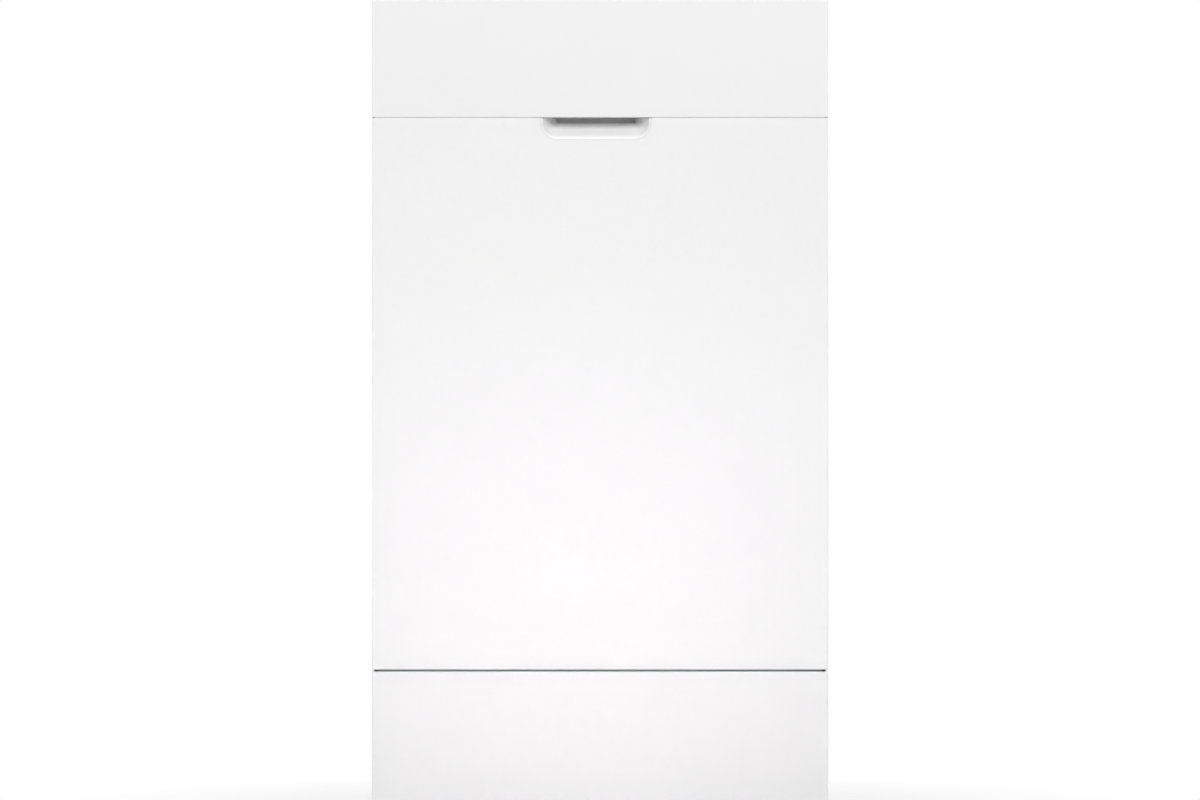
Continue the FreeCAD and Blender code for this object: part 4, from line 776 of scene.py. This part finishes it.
beads = {"side": {"length": 360.0, "half": 7.0, "height": 1.4, "wall": 200.0, "y": 12.0, "z": 412.0, "pitch": 44.0,
                  "count": 3},
         "rear": {"length": 400.0, "half": 8.0, "height": 1.6, "x": -150.0, "wall": 253.0, "z": 500.0, "pitch": 60.0,
                  "count": 2},
         "louvre": {"length": 46.0, "half": 4.0, "height": 2.6, "x": -120.0, "face": 280.0, "z": 640.0, "pitch": 12.0,
                    "rows": 8, "columns": 4, "step": 80.0}}
beadForm = {"runOut": (0.0, 0.08, 0.3, 0.65, 1.0), "across": (-1.0, -0.7, -0.4, 0.0, 0.4, 0.7, 1.0), "merge": 1e-7}


def bead(s, seat):
    # a pressed bead along X that rises to Z and runs out at both ends
    length, half = s["length"], s["half"]
    ends = [half * share for share in beadForm["runOut"]]
    bm = bmesh.new()
    rows = []
    for at in ends + [length - d for d in reversed(ends)]:
        near = min(min(at, length - at) / half, 1.0)
        full = math.sqrt(max(1.0 - (1.0 - near) ** 2, 0.0))
        rows.append([bm.verts.new(Vector((at - length / 2, v * half * full,
                                          s["height"] * full * (1.0 - v * v) ** 2)) * mm)
                     for v in beadForm["across"]])
    for one, two in zip(rows, rows[1:]):
        bridge(bm, one, two)
    bmesh.ops.remove_doubles(bm, verts=bm.verts, dist=beadForm["merge"])
    bmesh.ops.dissolve_degenerate(bm, edges=bm.edges, dist=beadForm["merge"])
    bmesh.ops.holes_fill(bm, edges=[e for e in bm.edges if e.is_boundary])
    bmesh.ops.recalc_face_normals(bm, faces=bm.faces)
    made = fromBmesh("bead", bm)
    made.data.transform(seat)
    return made


def pressBeads():
    parts = []
    s = beads["side"]
    for side in (-1, 1):
        strip = bead(s, place(side * s["wall"], s["y"], s["z"]) @ turned(90, "Z") @ turned(-90 * side, "X"))
        parts.append(inRows.make("side_beads", strip, "stainless", columns=s["count"], columnStep=(0, 0, s["pitch"])))
    s = beads["rear"]
    for start in (s["x"], -s["x"] - s["pitch"]):
        strip = bead(s, place(start, s["wall"], s["z"]) @ toFront @ turned(90, "Z"))
        parts.append(inRows.make("rear_beads", strip, "stainless", columns=s["count"], columnStep=(s["pitch"], 0, 0)))
    dress(merged("tub_wall_beads", *parts), "stainless", "cabinet", crease=60.0)
    s = beads["louvre"]
    spread("rear_louvres", bead(s, place(s["x"], s["face"], s["z"]) @ toBack), "galvanised", "cabinet", s["rows"],
           (0, 0, s["pitch"]), s["columns"], (s["step"], 0, 0), crease=60.0)


lights = {"x": -74.0, "pitch": 8.0, "count": 4, "y": -271.0, "top": 812.0, "radius": 1.3, "height": 0.3, "sides": 10,
          "lens": ((0.0, 1.0), (0.6, 0.85), (1.0, 0.3), (1.0, -1.0), (0.0, -1.0))}


def fitLights():
    s = lights
    lens = lathe("lens", sized(s["lens"], s["radius"], s["height"]), s["sides"], place(s["x"], s["y"], s["top"]))
    spread("strip_lights", lens, "keys", "door", s["count"], (s["pitch"], 0, 0))


fitScrews()
fitSieve()
fitNozzles()
pressBeads()
fitLights()
print("small fittings placed")

# Grip ribs on the turning caps, threads on the feet and the water inlet
grips = {"salt_cap": {"seat": place(-112.0, -60.0, 0.0), "radius": 32.2, "low": 174.5, "high": 183.5, "count": 30,
                      "wide": 2.2},
         "rinse_aid_cap": {"seat": place(46.0, 0.0, 457.5) @ toBack, "radius": 16.8, "low": -243.6, "high": -239.2,
                           "count": 20, "wide": 1.6}}
gripRib = {"sink": 0.6, "rise": 0.8, "soft": 0.35}
threads = {"foot": {"places": {"foot_front_left": (-190.0, -200.0), "foot_front_right": (190.0, -200.0),
                               "foot_rear_left": (-190.0, 224.0), "foot_rear_right": (190.0, 224.0)},
                    "radius": 5.0, "rise": 0.25, "pitch": 1.75, "low": 22.0, "count": 43},
           "inlet": {"centre": (140.0, 78.0), "radius": 13.2, "rise": 0.3, "pitch": 1.8, "low": 258.2, "count": 10}}
threadForm = {"root": 0.98, "core": 0.9, "flank": 0.42, "shoulder": 0.8, "crest": 0.12, "sides": 20}


def fitGrips():
    for body, g in grips.items():
        rib = bar("rib", (g["radius"] - gripRib["sink"], -g["wide"] / 2, g["low"]),
                  (g["radius"] + gripRib["rise"], g["wide"] / 2, g["high"]), gripRib["soft"])
        dress(inRing.make(body + "_ribs", rib, slotOf[body], g["seat"], count=g["count"]), slotOf[body], body)


def threadRing(t, seat):
    c, radius = threadForm, t["radius"]
    root, flank, crest = radius * c["root"], t["pitch"] * c["flank"], c["crest"]
    shoulder = radius + t["rise"] * c["shoulder"]
    return lathe("thread", [(root, -flank), (shoulder, -crest), (radius + t["rise"], 0.0), (shoulder, crest),
                            (root, flank), (radius * c["core"], 0.0), (root, -flank)], c["sides"], seat)


def cutThreads():
    t = threads["foot"]
    for body, (x, y) in t["places"].items():
        spread(body + "_thread", threadRing(t, place(x, y, t["low"])), slotOf[body], body, t["count"],
               (0, 0, t["pitch"]), crease=25.0)
    t = threads["inlet"]
    x, z = t["centre"]
    spread("inlet_thread", threadRing(t, place(x, t["low"], z) @ toBack), slotOf["inlet_valve"], "cabinet", t["count"],
           (0, t["pitch"], 0), crease=25.0)


fitGrips()
cutThreads()
print("grips and threads cut")

# Dispenser: lid border and gasket, the slide that frees the lid, a sight glass
dispenser = {"flange": -244.0, "lidFace": -241.7, "lidBack": -243.7, "round": 0.6, "cornerSteps": 5,
             "border": {"low": (-66.0, 424.0), "high": (-10.0, 492.5), "corner": 5.0, "wide": 1.8, "rise": 0.7},
             "gasket": {"low": (-65.5, 426.0), "high": (-10.5, 489.0), "corner": 6.0, "wide": 2.0, "rise": 1.3},
             "slide": {"x": -38.0, "z": 502.0, "half": (13.0, 3.6), "rise": 2.2, "soft": 0.9, "ribs": 5, "pitch": 4.4,
                       "ribHalf": 0.6, "ribSink": 0.4, "ribRise": 0.6, "ribEnd": 1.0, "ribSoft": 0.3},
             "glass": {"x": 46.0, "z": 489.0, "radius": 4.5, "rise": 0.9, "sides": 24,
                       "lens": ((0.0, 1.0), (0.5, 0.9), (0.85, 0.5), (1.0, 0.0), (1.0, -1.0), (0.0, -1.0))}}


def flatLoop(name, table, level, up):
    half, rise, soft = table["wide"] / 2, table["rise"], dispenser["round"]
    path = frontLoop(table["low"], table["high"], level, table["corner"], dispenser["cornerSteps"])
    return sweepLoop(name, path, [(-half, 0.0), (half, 0.0), (half, rise * soft), (half * soft, rise),
                                  (-half * soft, rise), (-half, rise * soft)], (0, up, 0))


def fitDispenser():
    d = dispenser
    dress(flatLoop("lid_border", d["border"], d["lidFace"], 1), slotOf["dispenser_lid"], "dispenser_lid")
    dress(flatLoop("lid_gasket", d["gasket"], d["lidBack"], -1), "seal_rubber", "dispenser_lid", crease=60.0)
    s = d["slide"]
    (halfX, halfZ), level, top = s["half"], d["flange"], d["flange"] + s["rise"]
    block = bar("slide", (s["x"] - halfX, level, s["z"] - halfZ), (s["x"] + halfX, top, s["z"] + halfZ), s["soft"],
                segments=3)
    first, reach = s["x"] - s["pitch"] * (s["ribs"] - 1) / 2, halfZ - s["ribEnd"]
    rib = bar("rib", (first - s["ribHalf"], top - s["ribSink"], s["z"] - reach),
              (first + s["ribHalf"], top + s["ribRise"], s["z"] + reach), s["ribSoft"])
    ribs = inRows.make("ribs", rib, "keys", columns=s["ribs"], columnStep=(s["pitch"], 0, 0))
    dress(merged("lid_slide", block, ribs), "keys", "door")
    g = d["glass"]
    lens = lathe("sight_glass", sized(g["lens"], g["radius"], g["rise"]), g["sides"],
                 place(g["x"], level, g["z"]) @ toBack)
    dress(lens, "display_glass", "door", crease=50.0)


fitDispenser()
print("dispenser fitted")

# Ribs, rim and washer on the outer face of each rack wheel
wheel = {"face": 193.0, "z": 215.8, "rows": {"lower_front_wheels": -48.0, "lower_rear_wheels": 180.0}, "ribs": 6,
         "ribRun": (5.2, 13.2), "ribWide": 1.8, "ribRise": 0.7, "ribSink": 0.2, "ribSoft": 0.3, "sides": 32,
         "rim": ((12.8, -0.2), (14.2, -0.2), (14.2, 0.4), (13.8, 0.7), (13.2, 0.7), (12.8, 0.4), (12.8, -0.2)),
         "washer": ((3.5, -0.2), (5.6, -0.2), (5.6, 0.6), (5.2, 0.95), (3.9, 0.95), (3.5, 0.6), (3.5, -0.2))}


def fitWheels():
    w = wheel
    inner, outer = w["ribRun"]
    for body, y in w["rows"].items():
        parts = []
        for side in (-1, 1):
            seat = place(side * w["face"], y, w["z"]) @ turned(90 * side, "Y")
            rib = bar("rib", (inner, -w["ribWide"] / 2, -w["ribSink"]), (outer, w["ribWide"] / 2, w["ribRise"]),
                      w["ribSoft"])
            parts.append(inRing.make("ribs", rib, slotOf[body], seat, count=w["ribs"]))
            parts += [lathe("ring", loop, w["sides"], seat) for loop in (w["rim"], w["washer"])]
        dress(merged(body + "_faces", *parts), slotOf[body], body)


fitWheels()
print("wheels fitted")

# Lip under the door that closes the gap over the plinth from behind
lip = {"half": 214.0, "profile": ((-282.6, 154.0), (-282.6, 153.5), (-281.7, 153.2), (-281.5, 151.8), (-280.9, 151.6),
                                  (-280.3, 151.8), (-280.1, 153.2), (-278.6, 153.5), (-278.6, 154.0))}


def doorLip():
    bm = bmesh.new()
    ends = [[bm.verts.new(Vector((side * lip["half"], y, z)) * mm) for y, z in lip["profile"]] for side in (-1, 1)]
    bridge(bm, *ends, closed=True)
    for end in ends:
        bm.faces.new(end)
    bmesh.ops.recalc_face_normals(bm, faces=bm.faces)
    dress(fromBmesh("door_lower_lip", bm), "grey_plastic", "door")


doorLip()
print("door lip fitted")

# Felt mat behind the door skin: thin at its edges, pressed in a grid of dimples
mat = {"edge": 10.0, "edgeShare": 0.5, "dimplePitch": 46.0, "dimpleDepth": 1.6, "dimpleSharp": 8, "cell": 11.5,
       "edgeSteps": (0.0, 0.06, 0.25, 0.6, 1.0)}


def matLines(low, high):
    # cell lines across the mat, closer together near its edges
    near = [mat["edge"] * share for share in mat["edgeSteps"]]
    inner = high - low - 2 * mat["edge"]
    count = round(inner / mat["cell"])
    middle = [low + mat["edge"] + inner * k / count for k in range(1, count)]
    return [low + d for d in near] + middle + [high - d for d in reversed(near)]


def doorMat():
    m = mat
    low, high = (Vector(corner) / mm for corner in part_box("door_insulation"))
    columns, rows = matLines(low.x, high.x), matLines(low.z, high.z)
    bm = bmesh.new()

    def thickness(x, z):
        inset = min(x - low.x, high.x - x, z - low.z, high.z - z, m["edge"]) / m["edge"]
        rise = m["edgeShare"] + (1 - m["edgeShare"]) * math.sqrt(1 - (1 - inset) ** 2)
        wave = math.cos(math.pi * x / m["dimplePitch"]) * math.cos(math.pi * z / m["dimplePitch"])
        return (high.y - low.y) * rise - m["dimpleDepth"] * wave ** m["dimpleSharp"] * inset

    def rim(grid):
        return grid[0] + [row[-1] for row in grid[1:-1]] + grid[-1][::-1] + [row[0] for row in grid[-2:0:-1]]

    front = [[bm.verts.new(Vector((x, low.y, z)) * mm) for x in columns] for z in rows]
    back = [[bm.verts.new(Vector((x, low.y + thickness(x, z), z)) * mm) for x in columns] for z in rows]
    for grid in (front, back):
        for one, two in zip(grid, grid[1:]):
            bridge(bm, one, two)
    bridge(bm, rim(front), rim(back), True)
    bmesh.ops.recalc_face_normals(bm, faces=bm.faces)
    dress(fromBmesh("door_felt_mat", bm), "felt", "door", "door_insulation", crease=60.0)


doorMat()
print("felt mat laid")

# Studio: white all round, a softbox over the camera, a low beam for the door's sheen, four weaker lamps
studio = {"frameWidth": 1.17895, "lens": 200.0, "sensor": 36.0, "facePlane": -0.285, "lookHeight": 0.419,
          "farClip": 100.0, "worldStrength": 0.3, "middle": (0.0, 0.0, 0.4)}
# the paper's colour holds a painted shadow round the object, whose tone and fade rate are given here too
paper = {"size": 60.0, "rough": 0.9, "shade": 0.45, "paintedShadowTone": 0.07, "paintedShadowRate": 2.5, "mottle": 0.02,
         "mottleScale": 2.0, "glow": 0.88, "fadeFrom": 0.34, "fadeRate": 0.45}
lamps = {"key": {"place": (0.35, -6.4, 4.4), "target": (0.0, -0.28, 0.45), "size": 4.4, "power": 374.0},
         "low": {"place": (-0.1, -5.8, 0.16), "target": (-0.03, -0.28, 0.13), "size": 0.24, "power": 0.17,
                 "spread": 11.5},
         "top": {"place": (0.2, 0.3, 3.0), "size": 2.2, "power": 6.0},
         "left": {"place": (-5.0, 0.9, 2.6), "size": 3.2, "power": 92.0},
         "right": {"place": (5.0, 0.9, 2.6), "size": 3.2, "power": 76.0},
         "back": {"place": (0.6, 5.4, 2.8), "size": 3.2, "power": 100.0}}


def placeCamera():
    s = studio
    cam = bpy.data.cameras.new("photo_camera")
    cam.lens, cam.sensor_width, cam.sensor_fit = s["lens"], s["sensor"], "HORIZONTAL"
    cam.clip_end = s["farClip"]
    camera = newObject("photo_camera", cam)
    camera.location = (0.0, s["facePlane"] - s["frameWidth"] * s["lens"] / s["sensor"], s["lookHeight"])
    camera.rotation_euler = (math.radians(90), 0.0, 0.0)
    bpy.context.scene.camera = camera


def hangLamps():
    for name, setting in lamps.items():
        lamp = bpy.data.lights.new(name + "_softbox", "AREA")
        lamp.shape, lamp.size, lamp.energy = "SQUARE", setting["size"], setting["power"]
        lamp.spread = math.radians(setting.get("spread", 180.0))
        softbox = newObject(name + "_softbox", lamp)
        softbox.location = setting["place"]
        aim = Vector(setting.get("target", studio["middle"])) - softbox.location
        softbox.rotation_euler = aim.to_track_quat("-Z", "Y").to_euler()


def lightWorld():
    world = bpy.data.worlds.new("studio_white")
    bpy.context.scene.world = world
    world.use_nodes = True
    sky, share = Tree(world.node_tree), studio["worldStrength"]
    path = world.node_tree.nodes.new("ShaderNodeLightPath")
    seen, mirror, through = (Wire(sky, path.outputs["Is " + ray + " Ray"])
                             for ray in ("Camera", "Glossy", "Transmission"))
    direct = seen.math("MAXIMUM", seen.math("MAXIMUM", seen, mirror), through)
    background = world.node_tree.nodes["Background"]
    sky.link(direct * (1.0 - share) + share, background.inputs["Strength"])
    background.inputs["Color"].default_value = shade(1.0)


def layFloor():
    p = paper
    bpy.ops.mesh.primitive_plane_add(size=p["size"])
    floor = bpy.context.object
    floor.name = "studio_floor"
    f = Finish("floor_paper", Roughness=p["rough"])
    where = f.add("ShaderNodeSeparateXYZ", Vector=f.place).socket.node.outputs
    x, y = Wire(f, where[0]), Wire(f, where[1])
    # painted contact shadow: the paper's colour is darker close to the object's footprint and lightens to its plain
    # tone further out, with a little random mottle
    beside = x.math("ABSOLUTE", x, 0.0) - cadBox[1][0]
    ahead = y.math("ABSOLUTE", y, 0.0) - cadBox[1][1]
    clear = beside.math("MAXIMUM", beside, ahead) * p["paintedShadowRate"] + f.noise(p["mottleScale"]) * p["mottle"]
    f.feed(Base_Color=f.blend(clear.within(0.0, 1.0), shade(p["paintedShadowTone"]), shade(p["shade"])))
    # the paper runs out to plain white away from the object and keeps the real shadow and the painted shadow near it
    away = f.add("ShaderNodeVectorMath", out="Value", settings={"operation": "LENGTH"}, n0=f.place)
    glow = ((away - p["fadeFrom"]) * p["fadeRate"] + p["glow"]).within(p["glow"], 1.0)
    seen = f.add("ShaderNodeLightPath", out="Is Camera Ray")
    lit = f.add("ShaderNodeEmission", Strength=1.0)
    f.link(f.add("ShaderNodeMixShader", n0=seen * glow, n1=Wire(f, f.shader.outputs[0]), n2=lit),
           f.tree.nodes["Material Output"].inputs[0])
    floor.data.materials.append(f.material)


placeCamera()
hangLamps()
lightWorld()
layFloor()
bpy.context.scene.view_settings.view_transform = "Standard"
print("studio ready")
